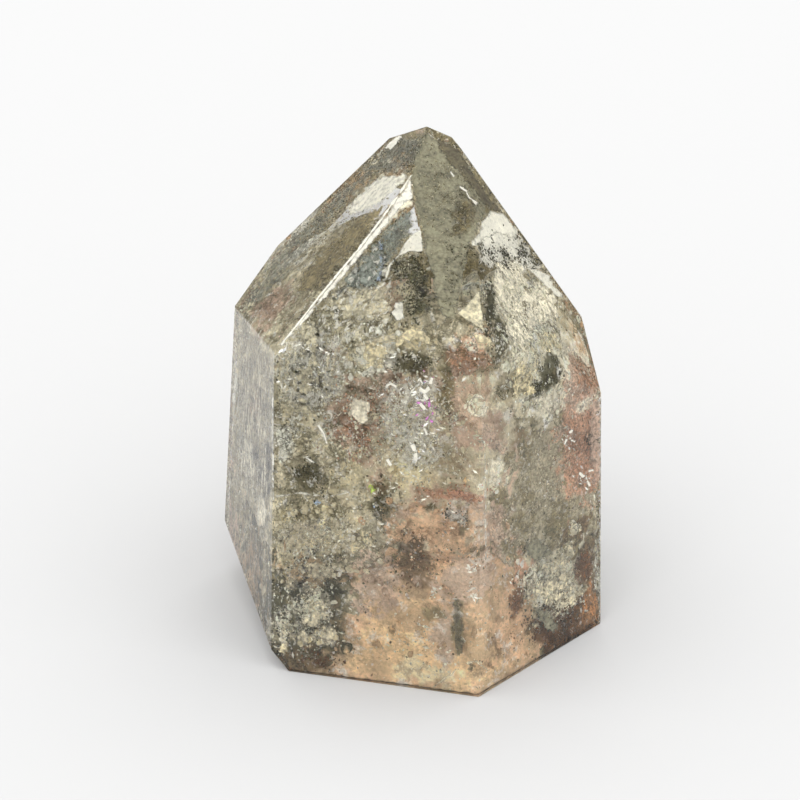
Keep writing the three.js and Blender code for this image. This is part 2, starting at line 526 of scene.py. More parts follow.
def patchList(v):
    # a pixel is as wide at the crystal as the picture's width over its pixels
    pixel = cameraView["distance"] * cameraView["sensor"] / cameraView["lens"] / cameraView["picture"]
    found = []
    for _, u, w, halfWide, halfHigh, kind in patches:
        middle = behindFace(u, w, v["depth"])
        half = np.array((halfWide * pixel, v["thickness"], halfHigh * pixel * v["upright"])) * mm
        found.append((np.array(middle), half, mineralColour(kind)))
    draw = random.Random(v["seed"])
    for number in range(v["hidden"]):
        middle = behindHidden(draw, v["depth"])
        half = np.array([draw.uniform(*v["hiddenSize"]) for _ in range(3)]) * mm
        kind = v["hiddenKinds"][number % len(v["hiddenKinds"])]
        found.append((np.array(middle), half, mineralColour(kind)))
    print(len(found), "patches placed")
    return found


placedPatches = patchList(patchShape)


def readAttribute(mesh, name, width):
    data = np.empty(len(mesh.vertices) * width, np.float32)
    mesh.attributes[name].data.foreach_get("vector" if width == 3 else "value", data)
    return data.reshape(-1, width)


def smoothStep(low, high, value):
    t = np.clip((value - low) / (high - low), 0, 1)
    return t * t * (3 - 2 * t)


tintShape = {
    "brightest": 0.97,
    "border": 0.05,  # half of the noise between which the main mineral gives way to the second
    "gritShare": 0.5,  # of the fine noise in the borders
    # the crevices between lumps take the moss colour: partly chlorite that lies in them, partly painted shade
    "crevice": (0.42, 0.62),  # how far from a lump's middle the dark of its crevices starts and is full
    "creviceMossAndShade": "moss",
    "darkCrumbs": 0.15,  # share of the crumbs
    "darkTone": 0.45,
    "lightCrumbs": 0.84,  # the crumbs above this share
    "lightTone": (0.4, 0.55),  # how much of its own tint such a crumb keeps, and the white added
    "crumbTone": (0.85, 0.3),  # least tone of the others, and their spread
    "broadTone": (1.07, 1.1),  # middle of the broad light and dark, and its spread
}


def storeTint(mesh, tint):
    count = len(mesh.vertices)
    data = mesh.attributes.new("tint", "FLOAT_COLOR", "POINT").data
    whole = np.hstack((np.clip(tint, 0, tintShape["brightest"]), np.ones((count, 1))))
    data.foreach_set("color", whole.astype(np.float32).ravel())


def paint(mesh, main, second, crevices):
    # the tint of every corner: two minerals in patches, and over them the placed ones
    v = {**patchShape, **tintShape}
    place = np.empty(len(mesh.vertices) * 3, np.float32)
    mesh.vertices.foreach_get("co", place)
    place = place.reshape(-1, 3)
    warp = readAttribute(mesh, "warp", 3) - 0.5
    crevice = readAttribute(mesh, "crevice", 1)
    grit = readAttribute(mesh, "grit", 1) - 0.5
    speck = readAttribute(mesh, "speck", 1)
    share = smoothStep(-v["border"], v["border"], warp[:, :1] + v["gritShare"] * grit)
    tint = mineralColour(main) * (1 - share) + mineralColour(second) * share
    for middle, half, colour in placedPatches:
        reach = np.linalg.norm((place - middle) / half + warp * v["fray"], axis=1)[:, None] + grit * v["grit"]
        tint += (colour - tint) * (smoothStep(1 + v["soft"], 1 - v["soft"], reach) * v["share"])
    # partly chlorite, partly painted shade: corners in the crevices between lumps darken to moss
    deep = smoothStep(*v["crevice"], crevice + v["gritShare"] * grit)
    tint += (mineralColour(v["creviceMossAndShade"]) - tint) * deep * crevices
    least, spread = v["crumbTone"]
    tint *= np.where(speck < v["darkCrumbs"], v["darkTone"], least + spread * speck)
    kept, added = v["lightTone"]
    tint = np.where(speck > v["lightCrumbs"], tint * kept + added, tint)
    middleTone, spread = v["broadTone"]
    storeTint(mesh, tint * (middleTone + spread * warp[:, 1:2]))
    for name in ("warp", "speck", "grit", "crevice"):
        mesh.attributes.remove(mesh.attributes[name])


# the garden's growths

def signedDepth():
    # how deep a point lies in a closed form, negative outside it
    tree, start, end = newTree("signed_depth", "GeometryNodeTree", (
        ("Form", "NodeSocketGeometry", None),
    ), (("Depth", "NodeSocketFloat"),))
    near = addNode(tree, "GeometryNodeProximity", {0: start["Form"]}, target_element="FACES")
    near = near.outputs["Distance"]
    # a ray that leaves the form where it first meets it started inside
    upwards = (0.13, 0.21, 0.97)
    ray = addNode(tree, "GeometryNodeRaycast", {
        0: start["Form"], "Ray Direction": upwards, "Ray Length": 1.0,
    })
    along = addNode(tree, "ShaderNodeVectorMath", {
        0: ray.outputs["Hit Normal"], 1: upwards,
    }, operation="DOT_PRODUCT")
    leaves = math2(tree, "GREATER_THAN", along.outputs["Value"], 0.0)
    side = math2(tree, "MULTIPLY_ADD", math2(tree, "MULTIPLY", leaves, ray.outputs["Is Hit"]), 2.0, -1.0)
    tree.links.new(math2(tree, "MULTIPLY", near, side), end["Depth"])
    return tree


depthNodes = signedDepth()


crust = {
    "noiseRoughness": 0.65,
    "noiseDetail": 5.0,
    "lumpSmoothness": 0.25,
    "lumpMiddle": 0.45,  # distance from a lump's middle at which it neither rises nor sinks
    "roughGain": 4.0,
    "seedShift": 0.013,  # how far each growth's noise is moved, m
    "dipStart": 0.3,  # noise from which the growth draws back from the faces
    "footRise": 250.0,  # over the foot the dips grow to their full depth, per m of height
    "steepness": 500.0,  # of the density round the skin, per m
    "adaptivity": 0.02,
    "margin": (0.0005, 0.0005, 0.0005),  # of the grid round the form, m
    "crumbReach": (0.006, 0.003),  # depth in m behind the faces where crumbs end, and where all stand
    "crumbFoot": 0.0009,  # crumbs stand above this height, m
    "crumbSizes": ((0.35, 0.35, 0.3), (1.2, 1.1, 0.9)),  # least and greatest, in the crumb size
    "crumbSeeds": (7, 9),  # of their sizes and of their tones
    "shadeCover": 0.0016,  # recesses start this deep behind the faces, m
    "gritSize": 0.0017,
    "gritDetail": 4.0,
    "warpScale": 280.0,
}


def growthTree(v):
    # a porous crust grown through a closed form: its skin is where depth and noise balance
    tree, start, end = newTree("growth", "GeometryNodeTree", (
        ("Geometry", "NodeSocketGeometry", None),
        ("Crystal", "NodeSocketObject", None),
        ("Grid", "NodeSocketFloat", 0.0003),
        ("Reach", "NodeSocketFloat", 0.0008),
        ("Cover", "NodeSocketFloat", 0.0004),
        ("Cover Height", "NodeSocketFloat", 0.0016),
        ("Solid", "NodeSocketFloat", 0.0008),
        ("Core", "NodeSocketFloat", 0.002),
        ("Lump Size", "NodeSocketFloat", 0.002),
        ("Lump Height", "NodeSocketFloat", 0.0006),
        ("Rough Size", "NodeSocketFloat", 0.003),
        ("Rough Height", "NodeSocketFloat", 0.001),
        ("Shade Start", "NodeSocketFloat", 0.0006),
        ("Shade Depth", "NodeSocketFloat", 0.003),
        ("Crumb Density", "NodeSocketFloat", 1e6),
        ("Crumb Size", "NodeSocketFloat", 0.0003),
        ("Foot", "NodeSocketFloat", 0.0002),
        ("Seed", "NodeSocketInt", 1),
        ("Material", "NodeSocketMaterial", None),
    ), (("Geometry", "NodeSocketGeometry"),))
    form = start["Geometry"]
    shell = addNode(tree, "GeometryNodeObjectInfo", {"Object": start["Crystal"]}).outputs["Geometry"]
    place = addNode(tree, "GeometryNodeInputPosition").outputs[0]
    depth = addNode(tree, "GeometryNodeGroup", {"Form": form}, node_tree=depthNodes).outputs[0]
    under = addNode(tree, "GeometryNodeGroup", {"Form": shell}, node_tree=depthNodes).outputs[0]

    def noiseOf(size, detail, shift=(0, 0, 0)):
        return addNode(tree, "ShaderNodeTexNoise", {
            "Vector": vector2(tree, "ADD", place, shift), "Scale": math2(tree, "DIVIDE", 1.0, size),
            "Detail": detail, "Roughness": v["noiseRoughness"],
        }).outputs["Fac"]

    balls = addNode(tree, "ShaderNodeTexVoronoi", {
        "Vector": place, "Scale": math2(tree, "DIVIDE", 1.0, start["Lump Size"]),
        "Smoothness": v["lumpSmoothness"],
    }, feature="SMOOTH_F1").outputs["Distance"]
    rough = noiseOf(start["Rough Size"], v["noiseDetail"])
    lumpRise = math2(tree, "MULTIPLY", math2(tree, "SUBTRACT", v["lumpMiddle"], balls), start["Lump Height"])
    roughRise = math2(tree, "MULTIPLY", math2(tree, "SUBTRACT", rough, 0.5), start["Rough Height"])
    detail = math2(tree, "MULTIPLY_ADD", roughRise, v["roughGain"], lumpRise)
    reached = math2(tree, "ADD", depth, start["Reach"])
    porous = math2(tree, "ADD", math2(tree, "MINIMUM", reached, start["Solid"]), detail)
    # no pores deeper than the core, and nothing past the reach, near the faces or below the cut foot
    core = math2(tree, "MAXIMUM", porous, math2(tree, "SUBTRACT", depth, start["Core"]))
    shift = math2(tree, "MULTIPLY", start["Seed"], v["seedShift"])
    shift = addNode(tree, "ShaderNodeCombineXYZ", {2: shift}).outputs[0]
    dip = noiseOf(start["Rough Size"], v["noiseDetail"], shift)
    dip = math2(tree, "MAXIMUM", math2(tree, "SUBTRACT", dip, v["dipStart"]), 0.0)
    dips = math2(tree, "MULTIPLY", dip, start["Cover Height"])
    height = addNode(tree, "ShaderNodeSeparateXYZ", {0: place}).outputs[2]
    dips = math2(tree, "MULTIPLY", dips, math2(tree, "MULTIPLY", height, v["footRise"], clamp=True))
    clear = math2(tree, "SUBTRACT", math2(tree, "SUBTRACT", under, start["Cover"]), dips)
    level = math2(tree, "MINIMUM", math2(tree, "MINIMUM", core, reached), clear)
    level = math2(tree, "MINIMUM", level, math2(tree, "SUBTRACT", height, start["Foot"]))
    density = math2(tree, "MULTIPLY_ADD", level, v["steepness"], 0.5)

    box = addNode(tree, "GeometryNodeBoundBox", {"Geometry": form})
    margin = vector2(tree, "ADD", scaledBy(tree, (1, 1, 1), start["Reach"]), v["margin"])
    low = vector2(tree, "SUBTRACT", box.outputs["Min"], margin)
    high = vector2(tree, "ADD", box.outputs["Max"], margin)
    steps = addNode(tree, "ShaderNodeSeparateXYZ", {0: vector2(tree, "SUBTRACT", high, low)}).outputs
    counts = {"Resolution " + axis: math2(tree, "DIVIDE", steps[axis], start["Grid"]) for axis in "XYZ"}
    cloud = addNode(tree, "GeometryNodeVolumeCube", {"Density": density, "Min": low, "Max": high, **counts})
    skin = addNode(tree, "GeometryNodeVolumeToMesh", {
        "Volume": cloud.outputs[0], "Threshold": 0.5, "Adaptivity": v["adaptivity"],
    })

    # crumbs near the faces, and none close over the cut foot, which they would break
    farthest, nearest = v["crumbReach"]
    nearFace = addNode(tree, "ShaderNodeMapRange", {
        "Value": under, "From Min": farthest, "From Max": nearest,
    }).outputs[0]
    bare = math2(tree, "MULTIPLY", nearFace, math2(tree, "GREATER_THAN", height, v["crumbFoot"]))
    spots = addNode(tree, "GeometryNodeDistributePointsOnFaces", {
        "Mesh": skin.outputs[0], "Seed": start["Seed"],
        "Density": math2(tree, "MULTIPLY", bare, start["Crumb Density"]),
    })
    crumb = addNode(tree, "GeometryNodeMeshUVSphere", {"Segments": 4, "Rings": 2, "Radius": 1.0})
    turn = addNode(tree, "FunctionNodeRandomValue", {
        0: (0, 0, 0), 1: (6.28, 6.28, 6.28), "Seed": start["Seed"],
    }, data_type="FLOAT_VECTOR").outputs[0]
    sizeSeed, toneSeed = v["crumbSeeds"]
    least, greatest = v["crumbSizes"]
    size = addNode(tree, "FunctionNodeRandomValue", {
        0: least, 1: greatest, "Seed": sizeSeed,
    }, data_type="FLOAT_VECTOR").outputs[0]
    laid = addNode(tree, "GeometryNodeInstanceOnPoints", {
        "Points": spots.outputs[0], "Instance": crumb.outputs[0], "Rotation": turn,
        "Scale": scaledBy(tree, size, start["Crumb Size"]),
    })
    tone = addNode(tree, "FunctionNodeRandomValue", {2: 0.0, 3: 1.0, "Seed": toneSeed}, data_type="FLOAT")
    toned = addNode(tree, "GeometryNodeStoreNamedAttribute", {
        "Geometry": laid.outputs[0], "Name": "speck", "Value": tone.outputs[1],
    }, data_type="FLOAT", domain="INSTANCE")
    real = addNode(tree, "GeometryNodeRealizeInstances", {"Geometry": toned.outputs[0]})
    plain = addNode(tree, "GeometryNodeStoreNamedAttribute", {
        "Geometry": skin.outputs[0], "Name": "speck", "Value": 0.5,
    }, data_type="FLOAT", domain="POINT")
    joined = tree.nodes.new("GeometryNodeJoinGeometry")
    tree.links.new(real.outputs[0], joined.inputs[0])
    tree.links.new(plain.outputs[0], joined.inputs[0])

    # what the paint reads: how far a corner lies in a recess, which the minerals darken as painted shade, and
    # two noises
    past = math2(tree, "SUBTRACT", depth, start["Shade Start"])
    past = math2(tree, "MINIMUM", past, math2(tree, "SUBTRACT", under, v["shadeCover"]))
    warp = addNode(tree, "ShaderNodeTexNoise", {
        "Vector": place, "Scale": v["warpScale"], "Detail": v["noiseDetail"],
        "Roughness": v["noiseRoughness"],
    })
    body = joined.outputs[0]
    for name, kind, value in (
        ("depth", "FLOAT", math2(tree, "DIVIDE", past, start["Shade Depth"], clamp=True)),
        ("grit", "FLOAT", noiseOf(v["gritSize"], v["gritDetail"])),
        ("crevice", "FLOAT", balls),
        ("warp", "FLOAT_VECTOR", warp.outputs["Color"]),
    ):
        body = addNode(tree, "GeometryNodeStoreNamedAttribute", {
            "Geometry": body, "Name": name, "Value": value,
        }, data_type=kind, domain="POINT").outputs[0]
    smooth = addNode(tree, "GeometryNodeSetShadeSmooth", {"Geometry": body})
    made = addNode(tree, "GeometryNodeSetMaterial", {
        "Geometry": smooth.outputs[0], "Material": start["Material"],
    })
    tree.links.new(made.outputs[0], end[0])
    return tree


growthNodes = growthTree(crust)


def grow(nodeName, shape, material, slot, main, second, seed):
    pieceName = nodeName + "_growth"
    merged = mergedCopy(nodeName)
    mesh = bpy.data.meshes.new(pieceName + "_form")
    merged.to_mesh(mesh)
    merged.free()
    form = linkObject(pieceName + "_form", mesh)
    modifier = form.modifiers.new("growth", "NODES")
    modifier.node_group = growthNodes
    sizes = {key: value * mm for key, value in shape.items()}
    sizes["Crumb Density"] = shape["Crumb Density"]
    setInputs(modifier, {**sizes, "Crystal": crystalSides, "Seed": seed, "Material": material})
    piece = bake(pieceName, form)
    paint(piece.data, main, second, shape["crevices"])
    return keepPiece(piece, slot, nodeName)


# each mineral's first colour is that of its dark cracks and veins and of the painted shade in its recesses
crumbly = mineral("crumbly_mineral", (104, 100, 74), {
    "Grain Size": 0.3, "Grain Contrast": 0.5, "Crack Size": 1.3, "Crack Amount": 0.4, "Light Amount": 0.8,
    "Vein Size": 7.0, "Vein Amount": 0.7,
})
sandy = mineral("sandy_mineral", (104, 98, 76), {
    "Grain Size": 0.24, "Grain Contrast": 0.7, "Crack Size": 0.9, "Crack Amount": 0.6, "Light Amount": 0.4,
    "Vein Size": 5.0, "Vein Amount": 0.35,
})
smoothClay = mineral("smooth_clay", (140, 112, 82), {
    "Grain Size": 0.3, "Grain Contrast": 0.3, "Crack Size": 3.4, "Crack Amount": 0.5, "Light Amount": 0.6,
    "Vein Size": 7.0, "Vein Amount": 0.25,
})
chalky = mineral("chalky_mineral", (150, 140, 108), {
    "Grain Size": 0.45, "Grain Contrast": 0.2, "Crack Size": 1.8, "Crack Amount": 0.2, "Light Amount": 0.9,
    "Vein Size": 6.0, "Vein Amount": 0.2,
})
creamy = mineral("creamy_mineral", (92, 90, 62), {
    "Grain Size": 0.4, "Grain Contrast": 0.25, "Crack Size": 2.2, "Crack Amount": 0.35, "Light Amount": 1.0,
    "Vein Size": 5.0, "Vein Amount": 0.8,
})
mossy = mineral("mossy_mineral", (44, 42, 25), {
    "Grain Size": 0.28, "Grain Contrast": 0.7, "Crack Size": 1.0, "Crack Amount": 0.8, "Light Amount": 0.4,
    "Vein Size": 3.0, "Vein Amount": 0.4,
})

# sizes in mm, crumbs per square metre, and how dark the crevices are painted, partly as chlorite and partly
# as painted shade
cauliflower = {
    "Grid": 0.33, "Reach": 1.0, "Cover": 0.4, "Cover Height": 5.0, "Solid": 0.7, "Core": 1.3,
    "Lump Size": 1.8, "Lump Height": 1.2, "Rough Size": 3.0, "Rough Height": 1.0, "Shade Start": 0.2,
    "Shade Depth": 2.4, "Crumb Density": 0.38e6, "Crumb Size": 0.3, "Foot": 0.05, "crevices": 0.3,
}
sand = {
    **cauliflower, "Grid": 0.36, "Reach": 2.4, "Solid": 1.0, "Lump Size": 0.9, "Lump Height": 0.5,
    "Rough Size": 3.6, "Rough Height": 0.8, "crevices": 0.15,
}
moss = {
    **cauliflower, "Grid": 0.38, "Reach": 2.2, "Solid": 0.5, "Lump Size": 1.2, "Lump Height": 0.8,
    "Rough Size": 2.2, "Rough Height": 1.1,
}
cloud = {
    **cauliflower, "Cover Height": 3.0, "Lump Size": 2.4, "Shade Depth": 3.0, "Crumb Density": 0.3e6,
    "crevices": 0.25,
}
clump = {**cauliflower, "Reach": 2.2}
hill = {**sand, "Grid": 0.46, "Reach": 0.8, "Crumb Density": 0.25e6, "Crumb Size": 0.35, "Shade Depth": 5.0}
bed = {**sand, "Crumb Density": 0.2e6, "Lump Size": 1.6}

# the CAD node, its shape, its look, its slot, and its main and second mineral
growths = (
    ("feldspar_cloud_high_right", cloud, creamy, "feldspar", "cream", "khaki"),
    ("feldspar_cloud_low_right", clump, creamy, "feldspar", "cream", "khaki"),
    ("feldspar_cloud_low_left", clump, crumbly, "feldspar", "khaki", "olive"),
    ("feldspar_flakes_top", cauliflower, crumbly, "feldspar", "khaki", "sand"),
    ("hematite_patch_right", sand, sandy, "hematite", "salmon", "mauve"),
    ("hematite_cloud_left", clump, crumbly, "hematite", "mauve", "grey"),
    ("moss_tuft_left", moss, mossy, "moss", "olive", "moss"),
    ("moss_tuft_right", moss, mossy, "moss", "olive", "brown"),
    ("clay_bed", bed, smoothClay, "clay", "peach", "tan"),
    ("clay_cloud_left", clump, crumbly, "clay", "khaki", "sand"),
    ("clay_cloud_middle", sand, smoothClay, "clay", "taupe", "khaki"),
    ("chlorite_sand_right", sand, sandy, "chlorite", "sand", "olive"),
    ("chlorite_cloud_left", moss, crumbly, "chlorite", "grey", "sand"),
    ("chlorite_hill_back", hill, mossy, "chlorite", "sand", "olive"),
)
for number, row in enumerate(growths):
    grow(*row, number + 1)
print("garden ready")


# loose grains, fibres and sparks in the clear quartz

knobbleNoise = {"Scale": 1700.0, "Detail": 2.0}


def fleckTree():
    # one small faceted grain on every point, sized and tinted by the point
    tree, start, end = newTree("flecks", "GeometryNodeTree", (
        ("Geometry", "NodeSocketGeometry", None),
        ("Stretch", "NodeSocketVector", (1, 1, 1)),
        ("Turn", "NodeSocketVector", (0, 0, 0)),
        ("Tumble", "NodeSocketVector", (3.14, 3.14, 3.14)),
        ("Knobble", "NodeSocketFloat", 0.0),
        ("Segments", "NodeSocketInt", 4),
        ("Rings", "NodeSocketInt", 2),
        ("Seed", "NodeSocketInt", 1),
        ("Material", "NodeSocketMaterial", None),
    ), (("Geometry", "NodeSocketGeometry"),))
    points = addNode(tree, "GeometryNodeMeshToPoints", {"Mesh": start["Geometry"]})
    grain = addNode(tree, "GeometryNodeMeshUVSphere", {
        "Segments": start["Segments"], "Rings": start["Rings"], "Radius": 1.0,
    })
    drawn = addNode(tree, "FunctionNodeRandomValue", {
        0: (-1, -1, -1), 1: (1, 1, 1), "Seed": start["Seed"],
    }, data_type="FLOAT_VECTOR").outputs[0]
    turned = vector2(tree, "ADD", vector2(tree, "MULTIPLY", drawn, start["Tumble"]), start["Turn"])
    size = addNode(tree, "GeometryNodeInputNamedAttribute", {"Name": "size"}, data_type="FLOAT").outputs[0]
    laid = addNode(tree, "GeometryNodeInstanceOnPoints", {
        "Points": points.outputs[0], "Instance": grain.outputs[0], "Rotation": turned,
        "Scale": scaledBy(tree, start["Stretch"], size),
    })
    real = addNode(tree, "GeometryNodeRealizeInstances", {"Geometry": laid.outputs[0]})
    rough = addNode(tree, "ShaderNodeTexNoise", knobbleNoise).outputs["Color"]
    shift = vector2(tree, "SUBTRACT", rough, (0.5, 0.5, 0.5))
    shift = scaledBy(tree, shift, math2(tree, "MULTIPLY", size, start["Knobble"]))
    knobbled = addNode(tree, "GeometryNodeSetPosition", {"Geometry": real.outputs[0], "Offset": shift})
    made = addNode(tree, "GeometryNodeSetMaterial", {
        "Geometry": knobbled.outputs[0], "Material": start["Material"],
    })
    tree.links.new(made.outputs[0], end[0])
    return tree


fleckNodes = fleckTree()


def scatter(name, slot, material, v, clusters):
    # grains at points drawn in clusters that a pixel of the picture centres, thinned to clumps by noise
    draw = random.Random(v["seed"])
    places, sizes, tints = [], [], []
    longest = max(v["stretch"])
    axis = Euler(v["turn"]).to_matrix() @ Vector((0, 0, longest))
    hidden = [("hidden", None, None, None, None, *row) for row in v["hidden"]]
    for _, u, w, halfWide, halfHigh, near, far, count, kind in (*clusters, *hidden):
        for _ in range(count):
            depth, size, tone = draw.uniform(near, far), draw.random(), draw.uniform(*v["tone"])
            size = v["small"] + (v["large"] - v["small"]) * size ** v["power"]
            if u is None:
                place = behindHidden(draw, depth + size)
            else:
                across, along = draw.gauss(0, v["spread"]), draw.gauss(0, v["spread"])
                place = behindFace(u + halfWide * across, w + halfHigh * along, depth + size)
            clump = draw.gauss(*v["thinning"])
            if place is None or noise.fractal(place / (v["clump"] * mm), *v["fractal"]) < clump:
                continue
            size *= mm
            if longest > v["fibreFrom"]:
                spare = size * longest * min(1, max(v["tumble"])) + v["fibreSpare"] * mm
                if min(roomAt(place + axis * size), roomAt(place - axis * size)) < spare:
                    continue
            elif roomAt(place) < size * (v["room"] + v["knobbleRoom"] * v["knobble"]):
                continue
            places.append(place)
            sizes.append(size)
            tints.append(mineralColour(kind) * tone)
    mesh = bpy.data.meshes.new(name + "_points")
    mesh.from_pydata(places, [], [])
    mesh.attributes.new("size", "FLOAT", "POINT").data.foreach_set("value", sizes)
    storeTint(mesh, np.array(tints))
    cloud = linkObject(name + "_points", mesh)
    modifier = cloud.modifiers.new("flecks", "NODES")
    modifier.node_group = fleckNodes
    setInputs(modifier, {
        "Stretch": v["stretch"], "Turn": v["turn"], "Tumble": v["tumble"], "Segments": v["segments"],
        "Rings": v["rings"], "Seed": v["seed"], "Knobble": v["knobble"], "Material": material,
    })
    return keepPiece(bake(name, cloud), slot)


grains = {
    "small": 0.07,  # half sizes, mm
    "large": 0.26,
    "clump": 1.6,  # size of the noise that thins them, mm
    "fractal": (0.5, 2.1, 5),  # of that noise: fall and step from octave to octave, and octaves
    "thinning": (0.0, 0.12),  # middle and spread of the noise below which a grain is left out
    "power": 2,  # the higher, the fewer large ones
    "tone": (0.75, 1.15),
    "spread": 0.55,  # of a cluster, in its half sizes
    "stretch": (1.0, 0.9, 0.6),
    "turn": (0, 0, 0),
    "tumble": (math.pi, math.pi, math.pi),
    "knobble": 0.0,  # how far noise pulls a grain's corners, in its half size
    "room": 1.05,  # from a grain's middle to the faces, in its half size
    "knobbleRoom": 0.5,
    "fibreFrom": 2,  # stretch from which both ends are kept clear of the faces
    "fibreSpare": 0.03,  # mm
    "segments": 4,
    "rings": 2,
    "seed": 21,
    # on the hidden faces: nearest and farthest depth in mm, how many are drawn, and the mineral
    "hidden": (),
}

# middle and half sizes in pixels, nearest and farthest depth in mm, how many are drawn, and the mineral
darkGrains = {**grains, "hidden": ((0.15, 1.2, 1800, "moss"), (0.15, 1.2, 600, "olive"))}
scatter("chlorite_grains", "chlorite", mossy, darkGrains, (
    ("tip_strip_left", 348, 236, 44, 26, 0.2, 0.6, 1300, "olive"),
    ("tip_edge_left", 300, 250, 60, 60, 0.5, 5.0, 900, "slate"),
    ("tip_chips", 410, 150, 20, 14, 0.4, 2.0, 400, "olive"),
    ("tip_clusters", 406, 268, 16, 14, 0.2, 0.8, 900, "moss"),
    ("tip_dark", 416, 292, 13, 26, 0.2, 0.8, 1000, "moss"),
    ("tip_middle", 350, 300, 46, 34, 0.4, 2.0, 300, "olive"),
    ("tip_right_specks", 507, 252, 40, 13, 0.06, 0.3, 1100, "moss"),
    ("tip_right_edge", 530, 238, 14, 26, 0.06, 0.3, 500, "moss"),
    ("tip_right_low", 520, 262, 30, 8, 0.06, 0.4, 500, "moss"),
    ("cloud_network", 532, 335, 42, 80, 0.3, 0.99, 160, "moss"),
    ("cloud_edge_left", 489, 310, 7, 46, 0.2, 1.1, 900, "moss"),
    ("cloud_gap", 550, 372, 10, 14, 0.15, 0.6, 360, "moss"),
    ("cloud_gap_low", 537, 388, 8, 8, 0.15, 0.6, 200, "moss"),
    ("green_spot", 592, 438, 6, 6, 0.15, 0.6, 160, "moss"),
    ("dark_large", 412, 566, 18, 26, 0.15, 0.7, 110, "umber"),
    ("gap_low_b", 316, 623, 14, 5, 0.12, 0.5, 130, "moss"),
    ("gap_low_a", 296, 592, 12, 8, 0.12, 0.5, 150, "moss"),
    ("dark_middle", 381, 508, 8, 30, 0.15, 0.7, 170, "moss"),
    ("hole_left", 331, 590, 13, 16, 0.15, 0.7, 320, "moss"),
    ("umber_right", 562, 632, 34, 22, 0.12, 0.6, 1300, "umber"),
    ("moss_low_left", 290, 618, 26, 40, 0.12, 0.6, 500, "moss"),
    ("foot_left", 305, 660, 36, 10, 0.15, 0.8, 500, "umber"),
    ("upper_left", 310, 370, 36, 50, 0.2, 1.1, 260, "moss"),
    ("spots_left", 308, 470, 12, 14, 0.15, 0.83, 220, "moss"),
    ("spots_left_low", 322, 484, 8, 12, 0.15, 0.83, 160, "moss"),
    ("middle", 400, 450, 110, 60, 0.15, 0.83, 260, "olive"),
    ("under_band", 412, 362, 20, 9, 0.15, 0.6, 170, "moss"),
    ("middle_gap", 446, 396, 7, 34, 0.15, 0.6, 120, "olive"),
    ("low_gap", 454, 514, 14, 8, 0.15, 0.6, 110, "moss"),
    ("low_left", 305, 600, 42, 60, 0.15, 0.83, 1100, "moss"),
    ("low_middle", 420, 560, 60, 40, 0.15, 0.83, 500, "olive"),
    ("low_right", 555, 600, 44, 56, 0.15, 0.83, 800, "moss"),
    ("bed", 420, 650, 90, 34, 0.15, 0.83, 90, "brown"),
))
scatter("chlorite_mist", "chlorite", sandy, {**grains, "small": 0.04, "large": 0.15, "seed": 25}, (
    ("tip", 446, 195, 30, 62, 0.15, 0.45, 900, "olive"),
    ("tip_light", 440, 200, 24, 56, 0.15, 0.45, 700, "khaki"),
    ("tip_dark", 464, 215, 16, 30, 0.15, 0.45, 700, "shade"),
    ("tip_low", 452, 262, 12, 46, 0.15, 0.45, 700, "shade"),
    ("tip_right_top", 478, 182, 16, 32, 0.15, 0.5, 400, "shade"),
    ("tip_strip", 345, 238, 44, 30, 0.15, 0.6, 900, "khaki"),
    ("cluster", 406, 272, 14, 24, 0.12, 0.45, 1300, "grey"),
    ("cluster_low", 412, 300, 12, 16, 0.12, 0.45, 500, "grey"),
))
crumbs = {**grains, "seed": 22, "hidden": ((0.15, 1.2, 1400, "cream"), (0.15, 1.2, 600, "khaki"))}
scatter("feldspar_crumbs", "feldspar", crumbly, crumbs, (
    ("cloud", 532, 335, 42, 80, 0.2, 0.77, 2400, "white"),
    ("tip_right", 505, 235, 22, 22, 0.4, 1.5, 500, "white"),
    ("tip_middle", 385, 262, 34, 44, 0.5, 3.5, 1300, "white"),
    ("tip_left", 330, 300, 50, 40, 0.5, 3.0, 900, "khaki"),
    ("upper_left", 305, 375, 34, 54, 0.15, 0.88, 1500, "white"),
    ("middle", 390, 430, 80, 70, 0.15, 0.88, 2000, "cream"),
    ("crumbs_left", 285, 441, 9, 11, 0.15, 0.55, 300, "white"),
    ("khaki_mass", 317, 537, 44, 34, 0.15, 0.66, 1200, "cream"),
    ("low_left", 305, 615, 34, 34, 0.15, 0.66, 900, "cream"),
    ("bed", 430, 640, 80, 46, 0.15, 0.66, 400, "cream"),
    ("low_right", 551, 583, 32, 28, 0.15, 0.66, 800, "white"),
    ("sand", 545, 480, 50, 80, 0.15, 0.66, 900, "khaki"),
    ("left_face", 250, 420, 20, 110, 0.15, 1.1, 900, "white"),
))
lumps = {
    **grains, "small": 0.12, "large": 0.8, "power": 1.8, "clump": 2.6, "thinning": (0.04, 0.12),
    "stretch": (1.0, 0.8, 0.55), "knobble": 1.0, "tone": (0.92, 1.12), "segments": 6, "rings": 4,
}
creamLumps = {**lumps, "seed": 26, "hidden": ((0.12, 1.0, 420, "cream"), (0.12, 1.0, 260, "khaki"))}
